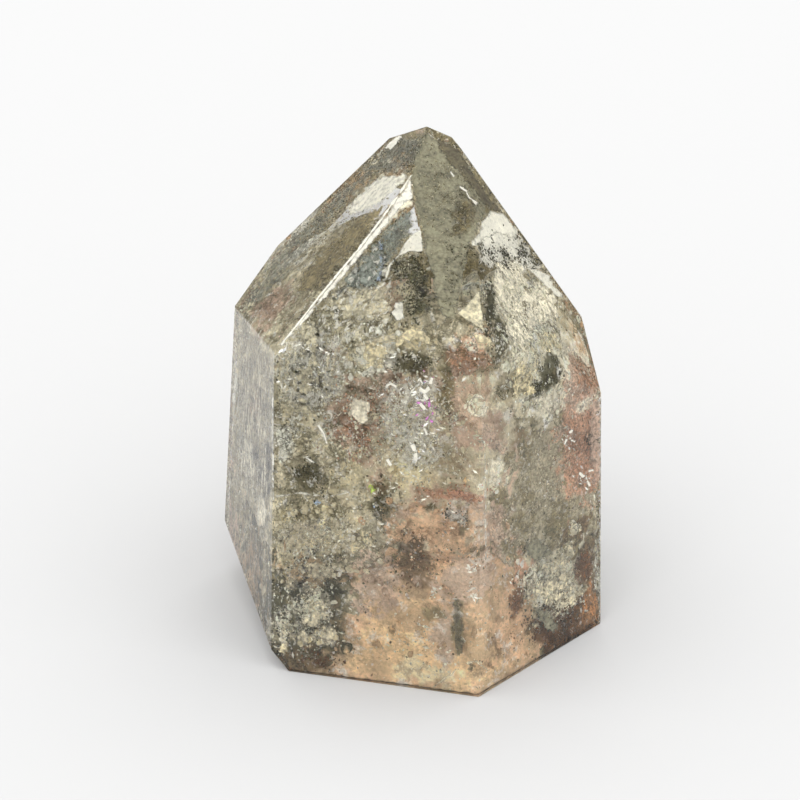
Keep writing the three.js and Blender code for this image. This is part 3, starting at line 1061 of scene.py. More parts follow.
scatter("feldspar_lumps", "feldspar", chalky, creamLumps, (
    ("cloud_top", 508, 284, 18, 28, 0.12, 0.5, 520, "cream"),
    ("cloud_core", 516, 318, 16, 28, 0.12, 0.5, 480, "cream"),
    ("cloud_right", 545, 302, 18, 20, 0.12, 0.5, 400, "cream"),
    ("cloud_middle", 541, 340, 20, 15, 0.12, 0.6, 280, "cream"),
    ("cloud_low", 518, 364, 16, 22, 0.12, 0.6, 320, "cream"),
    ("cloud_tail", 545, 404, 22, 14, 0.12, 0.7, 200, "cream"),
    ("cloud_edge", 566, 330, 10, 26, 0.12, 0.6, 140, "khaki"),
    ("low_right", 551, 583, 30, 22, 0.12, 0.7, 420, "cream"),
    ("low_right_arm", 530, 570, 22, 7, 0.12, 0.7, 90, "cream"),
    ("lump_a", 314, 604, 17, 20, 0.12, 0.6, 260, "cream"),
    ("lump_b", 284, 628, 8, 11, 0.12, 0.6, 90, "cream"),
    ("lump_c", 301, 637, 18, 8, 0.12, 0.6, 80, "butter"),
    ("lump_d", 326, 635, 10, 8, 0.12, 0.6, 60, "butter"),
    ("arm", 318, 570, 34, 10, 0.12, 0.7, 160, "khaki"),
    ("khaki_mass", 317, 537, 46, 30, 0.12, 0.8, 460, "khaki"),
    ("corner", 495, 470, 9, 18, 0.12, 0.6, 60, "white"),
    ("crumbs_left", 285, 441, 9, 11, 0.12, 0.6, 90, "white"),
    ("middle", 420, 430, 60, 50, 0.12, 0.8, 240, "khaki"),
    ("high", 372, 362, 44, 26, 0.12, 0.8, 120, "white"),
    ("ball", 360, 411, 13, 15, 0.12, 0.5, 60, "cream"),
    ("eye", 478, 405, 10, 11, 0.12, 0.5, 36, "cream"),
))
boulders = {
    **lumps, "small": 0.4, "large": 1.25, "power": 1.3, "thinning": (-0.1, 0.12), "tone": (0.8, 1.02),
    "segments": 9, "rings": 6, "seed": 28, "hidden": ((0.12, 0.8, 60, "khaki"), (0.12, 0.8, 40, "cream")),
}
scatter("feldspar_boulders", "feldspar", creamy, boulders, (
    ("lump_a", 314, 604, 16, 20, 0.12, 0.5, 26, "butter"),
    ("lump_b", 284, 628, 6, 9, 0.12, 0.4, 6, "butter"),
    ("lump_c", 303, 637, 20, 7, 0.12, 0.4, 9, "butter"),
    ("arm", 318, 568, 34, 9, 0.12, 0.5, 12, "khaki"),
    ("low_right", 551, 582, 26, 20, 0.12, 0.5, 30, "cream"),
    ("cloud_low", 518, 362, 15, 20, 0.12, 0.5, 22, "cream"),
    ("cloud_tail", 545, 402, 20, 12, 0.12, 0.5, 16, "cream"),
    ("khaki_mass", 317, 537, 46, 26, 0.2, 0.8, 16, "khaki"),
    ("middle", 410, 420, 60, 44, 0.3, 0.9, 14, "khaki"),
))
clayLumps = {
    **lumps, "seed": 27, "tone": (0.8, 0.98), "large": 1.0,
    "hidden": ((0.12, 1.0, 260, "taupe"), (0.12, 1.0, 160, "peach")),
}
scatter("clay_lumps", "clay", smoothClay, clayLumps, (
    ("peach_upper", 440, 530, 54, 28, 0.3, 0.8, 90, "peach"),
    ("taupe_left", 378, 590, 28, 32, 0.3, 0.8, 110, "taupe"),
    ("taupe_column", 494, 530, 16, 34, 0.3, 0.8, 80, "taupe"),
    ("bed", 420, 650, 90, 34, 0.4, 0.8, 60, "tan"),
    ("ball_side", 362, 424, 26, 36, 0.12, 0.8, 150, "mauve"),
    ("salmon_ball", 468, 358, 20, 19, 0.12, 0.8, 60, "mauve"),
    ("salmon_high", 589, 372, 14, 26, 0.12, 0.5, 80, "mauve"),
    ("salmon_low", 580, 447, 26, 42, 0.12, 0.5, 140, "mauve"),
))
scatter("feldspar_shards", "feldspar", crumbly, {
    **grains, "small": 0.14, "large": 0.6, "clump": 2.4, "stretch": (1.0, 0.55, 0.3), "seed": 24,
    "hidden": ((0.15, 1.0, 700, "white"),),
}, (
    ("upper_left", 305, 375, 34, 54, 0.25, 0.99, 420, "white"),
    ("upper_middle", 370, 350, 50, 40, 0.25, 0.99, 320, "white"),
    ("middle", 395, 425, 80, 60, 0.25, 0.99, 700, "cream"),
    ("middle_white", 410, 430, 50, 50, 0.2, 0.77, 300, "white"),
    ("crumbs_left", 285, 441, 9, 11, 0.15, 0.55, 70, "white"),
    ("cloud", 530, 325, 38, 66, 0.25, 0.88, 420, "white"),
    ("khaki_mass", 317, 537, 44, 34, 0.25, 0.77, 260, "khaki"),
    ("low_left", 305, 612, 34, 34, 0.2, 0.77, 260, "cream"),
    ("low_right", 551, 583, 30, 26, 0.2, 0.77, 200, "white"),
    ("bed", 430, 640, 80, 46, 0.2, 0.77, 90, "cream"),
    ("tip_middle", 390, 260, 34, 44, 0.6, 3.5, 260, "white"),
    ("left_face", 250, 430, 20, 110, 0.2, 1.1, 260, "white"),
    ("main_high", 424, 393, 10, 15, 0.4, 0.7, 60, "cream"),
    ("main_low", 415, 450, 7, 11, 0.4, 0.7, 40, "cream"),
    ("main_around", 412, 420, 20, 44, 0.4, 0.8, 90, "cream"),
))
scatter("hematite_dust", "hematite", sandy, {**grains, "seed": 23, "hidden": ((0.15, 1.0, 500, "mauve"),)}, (
    ("high", 589, 372, 14, 27, 0.15, 0.66, 600, "salmon"),
    ("low", 580, 447, 26, 42, 0.15, 0.66, 900, "salmon"),
    ("tip_left", 275, 312, 30, 28, 0.4, 2.5, 900, "mauve"),
    ("ball", 360, 420, 26, 36, 0.15, 0.66, 600, "salmon"),
    ("ball_high", 468, 358, 20, 19, 0.15, 0.66, 400, "salmon"),
    ("streak", 455, 493, 32, 8, 0.15, 0.5, 400, "salmon"),
    ("low_middle", 440, 545, 60, 40, 0.15, 0.66, 700, "peach"),
))


def sparkMaterial(roughness):
    material, tree, shader = newMaterial("cleavage_sparks")
    tree.links.new(attributeOf(tree, "tint", "Color"), shader.inputs["Base Color"])
    shader.inputs["Metallic"].default_value = 1.0
    shader.inputs["Roughness"].default_value = roughness
    return material


sparks = {
    **grains, "roughness": 0.35, "small": 0.08, "large": 0.5, "power": 1.8, "clump": 0.8,
    "thinning": (-0.3, 0.12), "stretch": (1.0, 0.35, 0.08), "turn": (1.05, 0, -0.1),
    "tumble": (0.22, 1.5, 0.3), "seed": 31, "hidden": ((0.15, 0.8, 260, "white"),),
}
scatter("cleavage_sparks", "quartz", sparkMaterial(sparks["roughness"]), sparks, (
    ("main_high", 423, 394, 9, 16, 0.04, 0.2, 120, "bright"),
    ("main_low", 415, 450, 7, 12, 0.04, 0.2, 55, "bright"),
    ("main_around", 412, 420, 24, 50, 0.04, 0.3, 110, "bright"),
    ("main_left", 393, 400, 14, 20, 0.04, 0.3, 40, "bright"),
    ("main_lilac", 426, 402, 9, 26, 0.04, 0.12, 22, "lilac"),
    ("main_blue", 420, 392, 12, 20, 0.04, 0.12, 12, "blue"),
    ("star_high", 570, 438, 7, 11, 0.04, 0.2, 60, "bright"),
    ("star_low", 585, 477, 10, 9, 0.04, 0.2, 60, "bright"),
    ("left_high", 310, 365, 34, 36, 0.04, 0.4, 130, "bright"),
    ("left_crumbs", 286, 441, 8, 10, 0.04, 0.3, 50, "white"),
    ("bed_high", 378, 357, 24, 12, 0.04, 0.3, 60, "white"),
    ("middle_low", 390, 461, 5, 6, 0.04, 0.3, 16, "white"),
    ("left_middle", 309, 459, 5, 5, 0.04, 0.3, 14, "white"),
    ("lime_a", 372, 490, 4, 4, 0.04, 0.2, 6, "lime"),
    ("lilac_a", 374, 506, 3, 3, 0.04, 0.2, 2, "lilac"),
    ("blue_a", 318, 502, 5, 3, 0.04, 0.2, 6, "blue"),
    ("gold_a", 466, 480, 3, 3, 0.04, 0.2, 5, "gold"),
    ("bed_a", 436, 591, 7, 5, 0.04, 0.3, 26, "white"),
    ("bed_b", 474, 569, 8, 6, 0.04, 0.3, 26, "white"),
    ("bed_c", 475, 596, 6, 6, 0.04, 0.3, 20, "white"),
    ("everywhere", 430, 480, 150, 150, 0.04, 0.4, 200, "white"),
    ("left_face", 242, 440, 8, 60, 0.04, 0.4, 60, "white"),
))

silk = {
    **grains, "small": 0.04, "large": 0.09, "clump": 2.5, "stretch": (1.0, 1.0, 16.0),
    "tumble": (0.12, 0.12, 0.12), "seed": 41,
}
scatter("silk_fibres_left", "quartz", crumbly, {**silk, "turn": (-0.17, 0.03, 0)}, (
    ("left_face", 250, 420, 20, 100, 0.12, 0.66, 480, "khaki"),
    ("left_low", 248, 540, 16, 60, 0.12, 0.55, 160, "khaki"),
    ("left_edge", 236, 395, 3, 26, 0.12, 0.33, 100, "white"),
))
looseSilk = {**silk, "turn": (-0.2, 0.5, 0), "tumble": (0.5, 0.5, 0.5), "seed": 42}
scatter("silk_fibres_front", "quartz", crumbly, looseSilk, (
    ("upper_left", 306, 365, 32, 40, 0.15, 0.77, 420, "white"),
    ("comb", 292, 424, 20, 9, 0.15, 0.44, 60, "white"),
    ("middle", 395, 420, 90, 70, 0.15, 0.77, 260, "cream"),
    ("low", 475, 596, 10, 8, 0.15, 0.44, 30, "white"),
))
scatter("bark_strips", "clay", crumbly, {
    **silk, "small": 0.08, "large": 0.2, "stretch": (1.0, 0.6, 7.0), "turn": (-0.17, 0.1, 0),
    "tumble": (0.2, 0.2, 0.2), "seed": 43,
}, (
    ("tan", 248, 585, 18, 60, 0.12, 0.55, 700, "tan"),
    ("brown", 248, 590, 18, 60, 0.12, 0.55, 500, "brown"),
    ("light", 246, 575, 16, 50, 0.12, 0.33, 120, "white"),
))
print("grains ready")


# thin veils and fracture planes, and sheets of painted highlights, glints, see-through light and shade

veilAndPaintedLightShape = {
    "cell": 2.8,  # of the sheet's grid, in pixels
    "fray": 5.0,  # how far noise moves an outline, in pixels
    "fraySize": 9.0,
    "soft": 5.0,  # width in which a veil fades, in pixels
    "fractal": (0.6, 2.1, 4),  # of that noise: fall and step from octave to octave, and octaves
    "waves": (0.4, 0.4),  # how far a veil's depth varies, and how fine beside its outline
    "apart": 7.3,  # between the places where two veils take their noise
    "thick": 0.03,  # mm
    # how mottled a mineral's veils and the flat lumps are
    "mottled": {"bright": 0.2, "white": 0.3, "cream": 0.7, "mist": 1.0, "moss": 2.0},
    "otherMottled": 1.2,
    "lumpMottled": 1.8,
    "streaky": 1.3,
    "veined": 1.2,
    # noise scales are per metre, and edges say where in a noise an effect starts and is full
    "holeNoise": {"Scale": 1500.0, "Detail": 4.0},
    "holeEdge": (0.3, 0.6),
    "holeLoss": 0.7,
    "fineNoise": {"Scale": 2600.0, "Detail": 4.0},
    "broadNoise": {"Scale": 500.0, "Detail": 5.0},
    "mottle": (1.9, 1.5, 1.7),  # share of the fine and of the broad noise, and the middle of both
    "strandNoise": {"Scale": 1900.0, "Detail": 3.0},
    "strandStretch": (1, 1, 0.1),
    "strandEdge": (0.6, 0.45),
    "crackNoise": {"Scale": 330.0, "Detail": 6.0, "Roughness": 0.7},
    "crackEdge": (0.035, 0.01),
    "strength": 1.6,
    "roughness": 0.5,
}


def veilAndPaintedLightMaterial(v):
    material, tree, shader = newMaterial("silky_veil")
    place = addNode(tree, "ShaderNodeTexCoord").outputs["Object"]

    def noiseOf(name, vector=place):
        return addNode(tree, "ShaderNodeTexNoise", {"Vector": vector, **v[name]}).outputs["Fac"]

    def edgeOf(value, name):
        start, full = v[name]
        return addNode(tree, "ShaderNodeMapRange", {
            "Value": value, "From Min": start, "From Max": full,
        }).outputs[0]

    fineShare, broadShare, middle = v["mottle"]
    uneven = math2(tree, "MULTIPLY", noiseOf("broadNoise"), broadShare)
    uneven = math2(tree, "MULTIPLY_ADD", noiseOf("fineNoise"), fineShare, uneven)
    uneven = math2(tree, "SUBTRACT", uneven, middle)
    lift = math2(tree, "ADD", math2(tree, "MULTIPLY", uneven, attributeOf(tree, "mottled")), 1.0)
    tree.links.new(scaledBy(tree, attributeOf(tree, "tint", "Color"), lift), shader.inputs["Base Color"])
    loss = math2(tree, "SUBTRACT", 1.0, edgeOf(noiseOf("holeNoise"), "holeEdge"))
    loss = math2(tree, "MULTIPLY", loss, v["holeLoss"])
    kept = math2(tree, "SUBTRACT", math2(tree, "MULTIPLY", attributeOf(tree, "fade"), v["strength"]), loss)
    drawn = vector2(tree, "MULTIPLY", place, v["strandStretch"])
    between = edgeOf(noiseOf("strandNoise", drawn), "strandEdge")
    kept = math2(tree, "SUBTRACT", kept, math2(tree, "MULTIPLY", between, attributeOf(tree, "streaky")))
    # dark veins show where the sheet is cracked
    away = math2(tree, "ABSOLUTE", math2(tree, "SUBTRACT", noiseOf("crackNoise"), 0.5))
    cracked = math2(tree, "MULTIPLY", edgeOf(away, "crackEdge"), attributeOf(tree, "veined"))
    kept = math2(tree, "SUBTRACT", kept, cracked, clamp=True)
    tree.links.new(kept, shader.inputs["Alpha"])
    shader.inputs["Roughness"].default_value = v["roughness"]
    return material


def insideOutline(outline, u, w):
    # distance in pixels from an outline, negative outside it
    inside, nearest = False, 1e9
    for (a, b), (c, d) in zip(outline, outline[1:] + outline[:1]):
        if (b > w) != (d > w) and u < (c - a) * (w - b) / (d - b) + a:
            inside = not inside
        along = ((u - a) * (c - a) + (w - b) * (d - b)) / ((c - a) ** 2 + (d - b) ** 2)
        along = min(1, max(0, along))
        nearest = min(nearest, math.hypot(u - a - along * (c - a), w - b - along * (d - b)))
    return nearest if inside else -nearest


def ribbon(path, half):
    # the outline of a line drawn with a width
    left, right = [], []
    for i, (u, w) in enumerate(path):
        a, b = path[max(0, i - 1)], path[min(len(path) - 1, i + 1)]
        du, dw = b[0] - a[0], b[1] - a[1]
        length = math.hypot(du, dw)
        left.append((u - dw / length * half, w + du / length * half))
        right.append((u + dw / length * half, w - du / length * half))
    return left + right[::-1]


def makeVeilsAndPaintedLight(name, slot, v, sheets):
    shape = bmesh.new()
    fadeLayer = shape.verts.layers.float.new("fade")
    tintLayer = shape.verts.layers.float_color.new("tint")
    mottleLayer = shape.verts.layers.float.new("mottled")
    streakLayer = shape.verts.layers.float.new("streaky")
    veinLayer = shape.verts.layers.float.new("veined")
    waveHeight, waveScale = v["waves"]
    for number, (label, kind, depth, share, soft, outline) in enumerate(sheets):
        mottled = v["mottled"].get(kind, v["otherMottled"])
        if label.startswith("lump"):
            mottled = v["lumpMottled"]
        outline = list(outline)
        lowU, lowW = (min(p[i] for p in outline) - 2 for i in (0, 1))
        wide, high = (max(p[i] for p in outline) + 2 - low for i, low in ((0, lowU), (1, lowW)))
        cell = min(v["cell"], soft)
        corners = {}
        for i in range(int(wide / cell) + 2):
            for j in range(int(high / cell) + 2):
                u, w = lowU + i * cell, lowW + j * cell
                seed = Vector((u / v["fraySize"], w / v["fraySize"], number * v["apart"]))
                fray = v["fray"] * min(1, soft / v["soft"])
                frayed = insideOutline(outline, u, w) + fray * noise.fractal(seed, *v["fractal"])
                place = behindFace(u, w, depth * (1 + waveHeight * noise.noise(seed * waveScale)))
                if frayed < -0.5 * cell or place is None:
                    continue
                corner = shape.verts.new(place)
                corner[fadeLayer] = share * min(1, max(0, frayed / soft))
                corner[tintLayer] = linearColour(*minerals[kind])
                corner[mottleLayer] = mottled
                corner[streakLayer] = v["streaky"] if label.startswith("silk") else 0
                corner[veinLayer] = v["veined"] if label.startswith(("cloud", "lump")) else 0
                corners[i, j] = corner
        for i, j in list(corners):
            ring = [corners.get(k) for k in ((i, j), (i + 1, j), (i + 1, j + 1), (i, j + 1))]
            if all(ring):
                shape.faces.new(ring)
    bmesh.ops.delete(shape, geom=[c for c in shape.verts if not c.link_faces], context="VERTS")
    bmesh.ops.recalc_face_normals(shape, faces=shape.faces)
    mesh = bpy.data.meshes.new(name + "_sheets")
    shape.to_mesh(mesh)
    shape.free()
    mesh.materials.append(veilAndPaintedLightMaterial(v))
    sheet = linkObject(name + "_sheets", mesh)
    solid = sheet.modifiers.new("thickness", "SOLIDIFY")
    solid.thickness = v["thick"] * mm
    return keepPiece(bake(name, sheet), slot)


# painted glints, short bright strokes: mineral, half width and line in pixels
paintedGlints = (
    ("bright", 1.6, ((386, 386), (391, 383.5), (397, 387))),
    ("bright", 1.0, ((405, 380), (407, 378))),
    ("bright", 0.9, ((410, 379), (411, 377))),
    ("bright", 1.5, ((420, 379), (423, 385))),
    ("bright", 1.7, ((432, 377.5), (430, 384))),
    ("bright", 1.1, ((409.5, 393), (415.5, 387.5))),
    ("bright", 2.6, ((419, 389), (425, 392), (430, 388))),
    ("bright", 2.2, ((424, 394), (428, 400))),
    ("lilac", 1.4, ((416.5, 402), (420, 404))),
    ("bright", 1.8, ((420, 403), (425, 410))),
    ("lilac", 1.1, ((429, 402), (429.5, 407))),
    ("lilac", 1.0, ((432, 412), (433, 414))),
    ("lilac", 1.4, ((429, 420), (433, 422))),
    ("bright", 1.1, ((424, 428), (427, 435))),
    ("bright", 1.1, ((414.5, 437), (420, 439.5))),
    ("bright", 1.0, ((432.5, 436), (435, 435.5))),
    ("bright", 2.2, ((412, 444), (415, 451))),
    ("gold", 1.0, ((418, 450), (419.5, 453))),
    ("bright", 2.3, ((414.5, 453), (416.5, 460))),
    ("bright", 2.0, ((387, 459), (391, 466))),
    ("bright", 1.2, ((305, 457), (313, 462))),
    ("bright", 1.2, ((318, 425), (324, 434), (327, 444))),
    ("lime", 1.5, ((371, 488), (373, 492))),
    ("blue", 1.2, ((373, 505), (375, 508))),
    ("blue", 1.2, ((315, 502), (321, 502.5))),
    ("bright", 1.5, ((564, 445), (567, 439))),
    ("bright", 1.3, ((569, 433), (573, 430))),
    ("bright", 1.1, ((571, 440), (576, 442))),
    ("bright", 1.0, ((568, 447), (570, 450))),
    ("bright", 1.6, ((579, 473), (584, 477))),
    ("bright", 1.3, ((588, 471), (594, 470))),
    ("bright", 1.4, ((587, 480), (590, 486))),
    ("bright", 1.0, ((578, 483), (582, 484))),
)

# flat lumps that lie close under the polished faces: mineral, middle and half sizes in pixels
flatLumps = (
    ("sand", 309, 571, 28, 12),
    ("sand", 292, 584, 10, 9),
    ("khaki", 309, 594, 13, 12),
    ("khaki", 320, 609, 14, 14),
    ("khaki", 310, 620, 13, 9),
    ("khaki", 289, 629, 9, 12),
    ("khaki", 304, 637, 13, 9),
    ("khaki", 328, 634, 10, 11),
    ("butter", 284, 647, 8, 7),
    ("sand", 304, 535, 24, 14),
    ("butter", 523, 379, 15, 21),
    ("butter", 549, 341, 12, 15),
)


def blob(u, w, halfWide, halfHigh, corners=12):
    turns = [2 * math.pi * k / corners for k in range(corners)]
    return tuple((u + halfWide * math.cos(t), w + halfHigh * math.sin(t)) for t in turns)


# mineral, depth in mm, how opaque, width of the fading edge, and the outline or drawn line in pixels
makeVeilsAndPaintedLight("silky_veils", "quartz", veilAndPaintedLightShape, (
    *(("lump", kind, 0.3, 0.55, 4.5, blob(*place)) for kind, *place in flatLumps),
    ("lump_right", "khaki", 0.3, 0.6, 4.0, (
        (542, 564), (559, 554), (570, 554), (571, 569), (574, 581), (585, 588), (584, 600), (575, 609),
        (562, 612), (561, 620), (553, 620), (549, 609), (534, 609), (520, 600), (525, 590), (526, 581),
        (541, 577))),
    ("streak_right", "mist", 0.25, 0.7, 3.0, (
        (535, 608), (552, 610), (559, 627), (555, 637), (547, 632), (538, 620))),
    ("sand_over_lump", "mist", 0.3, 0.6, 4.0, ((525, 540), (548, 538), (553, 556), (541, 564), (527, 558))),
    ("brown_over_lump", "umber", 0.3, 0.5, 4.0, (
        (573, 556), (588, 548), (598, 556), (592, 580), (578, 586), (572, 572))),
    # painted shade: dim grey sheets where the tip's outer band looks dark
    ("painted_shade_outer_band", "slate", 0.9, 0.42, 7.0, (
        (238, 306), (278, 248), (388, 142), (424, 130), (428, 162), (411, 171), (376, 176), (345, 207),
        (300, 262), (266, 300), (244, 318))),
    # painted shade, darker, at the top of that band
    ("painted_shade_outer_top", "slate", 0.7, 0.3, 5.0, (
        (345, 186), (388, 146), (424, 134), (418, 160), (380, 170), (352, 196))),
    # painted light: a white sheet where the bright floor shows through the tip
    ("painted_see_through_left", "white", 0.7, 0.7, 3.0, (
        (377, 177), (411, 172), (403, 185), (385, 201), (372, 208), (350, 216), (345, 208), (362, 190))),
    # painted light, greyed, where the floor shows through
    ("painted_see_through_left_tail", "grey", 0.7, 0.4, 5.0, ((345, 208), (352, 214), (322, 246), (306, 258), (316, 238))),
    ("strip_left", "olive", 0.5, 0.62, 4.0, (
        (404, 186), (386, 203), (352, 219), (336, 236), (300, 272), (296, 292), (318, 292), (352, 254),
        (380, 217))),
    ("cream_edge", "cream", 0.25, 0.75, 3.0, (
        (411, 176), (415, 203), (400, 214), (384, 230), (370, 243), (384, 216), (403, 188))),
    # painted highlights: the bright narrow facet along the tip's left edge, and its line
    ("painted_facet_highlight", "bright", 0.16, 0.8, 1.5, (
        (280, 346), (321, 296), (353, 257), (381, 221.5), (404, 188.5), (411.5, 175), (413, 198), (404, 204),
        (386, 226), (357, 261), (324, 299.5), (284, 345))),
    ("painted_edge_highlight", "bright", 0.06, 1.0, 0.7, ribbon((
        (281, 345), (320, 295.5), (352.5, 256.5), (380.5, 220.5), (403.5, 187.5), (411.5, 174.5)), 1.3)),
    ("teal_smooth", "teal", 0.6, 0.62, 6.0, (
        (399, 214), (414, 205), (414, 230), (402, 243), (390, 262), (378, 290), (352, 292), (330, 306),
        (346, 272), (372, 241))),
    ("teal_dark", "slate", 0.5, 0.4, 5.0, (
        (402, 222), (415, 218), (414, 236), (400, 246), (384, 262), (380, 250))),
    ("blue_streak", "blue", 0.3, 0.4, 2.0, ribbon(((378, 230), (381, 252), (379, 284)), 2.2)),
    ("blue_streak_b", "white", 0.3, 0.5, 1.5, ribbon(((384, 244), (385, 268), (383, 282)), 1.2)),
    ("teal_streak_a", "white", 0.4, 0.4, 3.0, ribbon(((356, 262), (352, 284), (350, 306)), 3)),
    ("teal_streak_b", "white", 0.4, 0.4, 3.0, ribbon(((340, 282), (336, 300), (334, 322)), 2.5)),
    # painted light: a small white sheet where the floor shows through
    ("painted_see_through_small", "white", 0.3, 0.9, 1.2, ((421, 226), (423, 251), (410, 252), (396, 258), (404, 243))),
    ("small_rim", "white", 0.3, 0.8, 1.0, ribbon(((397, 257), (389, 266), (386, 279)), 1.2)),
    ("small_patch", "white", 0.4, 0.8, 2.0, ((395, 301), (404, 301), (405, 318), (396, 322), (391, 314))),
    ("green_high", "moss", 0.5, 0.42, 5.0, (
        (397, 262), (410, 254), (422, 256), (424, 272), (404, 278), (390, 272))),
    ("green_middle", "moss", 0.5, 0.45, 5.0, (
        (404, 274), (420, 266), (429, 274), (432, 296), (420, 302), (406, 292))),
    ("green_low", "moss", 0.5, 0.42, 5.0, (
        (403, 298), (420, 294), (433, 304), (430, 318), (414, 321), (403, 311))),
    ("tip_light", "grey", 0.7, 0.5, 9.0, (
        (330, 268), (362, 258), (392, 286), (396, 326), (350, 330), (318, 300))),
    ("cloud_bright", "cream", 0.5, 0.75, 7.0, (
        (495, 262), (512, 253), (527, 268), (527, 290), (536, 280), (558, 290), (564, 320), (542, 326),
        (532, 338), (532, 356), (510, 346), (498, 312), (491, 285))),
    ("cloud_bright_low", "cream", 0.5, 0.6, 4.0, (
        (508, 352), (524, 356), (532, 372), (522, 384), (510, 374))),
    ("cloud_bright_tail", "cream", 0.5, 0.5, 4.0, (
        (530, 398), (548, 392), (562, 404), (552, 416), (536, 410))),
    ("silk_tip", "white", 0.35, 0.42, 9.0, (
        (312, 306), (346, 270), (376, 236), (397, 262), (398, 332), (350, 338), (308, 330))),
    ("tip_cover", "mist", 0.5, 0.72, 2.5, (
        (426, 131), (460, 151), (475, 174), (487, 210), (472, 245), (463, 284), (454, 320), (440, 318),
        (431, 275), (418, 220), (410, 181), (414, 158))),
    ("tip_dark", "olive", 0.45, 0.5, 6.0, (
        (456, 190), (476, 196), (482, 212), (470, 240), (460, 262), (448, 250), (452, 215))),
    ("brown_strip", "bark", 0.4, 0.85, 2.5, (
        (430, 131), (460, 151), (483, 187), (505, 215), (489, 209), (470, 187), (446, 160))),
    # painted light: a white sheet where the bright floor shows through the tip
    ("painted_see_through_right", "white", 0.35, 0.9, 2.5, (
        (489, 210), (507, 215), (518, 231), (510, 238), (496, 234), (484, 240), (472, 250), (471, 246),
        (480, 227))),
    # painted light fading out around it
    ("painted_see_through_fade", "white", 0.5, 0.75, 11.0, (
        (472, 240), (490, 216), (516, 220), (550, 272), (520, 276), (478, 268))),
    ("white_strip", "white", 0.3, 0.8, 1.5, (
        (525, 266), (545, 272), (559, 290), (566, 300), (556, 296), (543, 284))),
    # painted light, greyed, where the floor shows through
    ("painted_see_through_middle", "grey", 0.35, 0.8, 1.5, ((479, 290), (456, 314), (485, 333))),
    # painted glints where the edges are chipped
    ("painted_chip_glint", "bright", 0.2, 0.9, 1.5, ((384, 148), (398, 134), (403, 137), (391, 150))),
    ("painted_chips_glint", "bright", 0.2, 0.9, 1.0, ribbon(((459, 186), (466, 191), (469, 197), (477, 204)), 1.5)),
    ("painted_chips_glint_b", "bright", 0.2, 0.8, 1.0, ribbon(((450, 171), (454, 177)), 1.3)),
    ("salmon_edge", "mauve", 0.3, 0.5, 3.0, (
        (590, 398), (602, 396), (603, 440), (602, 484), (592, 486), (588, 440))),
    ("dark_sliver", "shade", 0.25, 0.62, 2.5, (
        (453, 600), (460, 598), (464, 626), (463, 655), (456, 655), (452, 628))),
    # painted reflection: a dark triangle of the foot seen reflected inside the crystal
    ("painted_foot_reflection_dark", "shade", 0.25, 0.42, 3.0, ((463, 668), (470, 660), (478, 664), (476, 673), (466, 675))),
    ("dark_low", "umber", 0.3, 0.45, 4.0, ((506, 596), (520, 590), (526, 604), (516, 616), (508, 610))),
    # the painted glints
    *(("painted_glint", kind, 0.06, 1.0, 0.7, ribbon(path, half)) for kind, half, path in paintedGlints),
    ("left_soft_a", "tan", 0.5, 0.3, 9.0, ((240, 360), (262, 372), (266, 420), (246, 424), (238, 396))),
    ("left_soft_b", "cream", 0.4, 0.4, 7.0, ((236, 430), (256, 436), (262, 480), (246, 486), (236, 460))),
    ("left_soft_c", "sand", 0.4, 0.4, 7.0, ((252, 440), (272, 446), (272, 492), (258, 490))),
    ("rust_touch", "rust", 0.2, 0.35, 2.0, ((565, 300), (573, 309), (571, 314), (564, 306))),
    # a painted highlight along the left prism edge
    ("painted_left_edge_highlight", "bright", 0.12, 0.9, 0.8, ribbon(((272.6, 395), (273, 450), (273.4, 500)), 1.0)),
    ("left_streak", "white", 0.2, 0.6, 1.5, ribbon(((236, 372), (234, 395), (234, 418)), 2)),
    ("left_cream", "cream", 0.6, 0.6, 3.0, ((256, 494), (267, 495), (267, 530), (257, 528))),
    ("silk_left", "cream", 0.25, 0.5, 10.0, (
        (237, 330), (272, 357), (273, 500), (264, 512), (234, 490), (231, 400))),
    ("silk_front", "grey", 0.4, 0.42, 12.0, (
        (278, 352), (325, 318), (348, 350), (335, 402), (300, 415), (278, 410))),
    ("soft_patch_a", "grey", 0.45, 0.5, 5.0, ((296, 322), (318, 318), (322, 346), (312, 360), (300, 350))),
    ("soft_patch_b", "grey", 0.45, 0.5, 5.0, ((294, 364), (316, 360), (322, 392), (298, 396))),
    ("soft_patch_c", "butter", 0.45, 0.5, 4.0, ((358, 346), (378, 340), (392, 352), (384, 372), (364, 370))),
    ("soft_patch_d", "grey", 0.45, 0.45, 4.0, ((290, 398), (310, 396), (312, 416), (294, 418))),
    ("shoulder_left", "sand", 0.5, 0.5, 8.0, (
        (238, 318), (271, 352), (272, 440), (270, 500), (240, 490), (236, 400))),
    ("fracture_low", "white", 0.5, 0.5, 1.2, ribbon(((276, 497), (300, 493), (325, 497), (350, 492)), 1.5)),
    ("pale_curve", "khaki", 0.4, 0.6, 1.2, ribbon(((320, 460), (328, 472), (330, 484), (326, 495)), 1.4)),
    ("comb_a", "white", 0.5, 0.5, 1.2, ribbon(((275, 416), (292, 420), (310, 428)), 1.2)),
    ("comb_b", "white", 0.5, 0.5, 1.2, ribbon(((274, 424), (290, 427), (306, 433)), 1.0)),
    ("flake_band", "butter", 0.3, 0.8, 1.5, (
        (395, 338), (408, 329), (424, 330), (432, 338), (430, 346), (418, 340), (404, 342), (396, 350))),
    ("flake_right", "butter", 0.3, 0.8, 1.5, ((469, 334), (480, 333), (493, 341), (490, 348), (478, 343))),
    ("flake_left", "khaki", 0.8, 0.7, 1.2, ((352, 346), (372, 338), (396, 334), (396, 340), (372, 346))),
    ("ball_crown", "cream", 0.25, 0.6, 2.5, (
        (347, 402), (354, 397), (362, 400), (370, 398), (372, 408), (367, 414), (370, 422), (360, 425),
        (352, 419))),
    ("eye_ring", "cream", 0.4, 0.7, 1.2, ribbon(tuple(
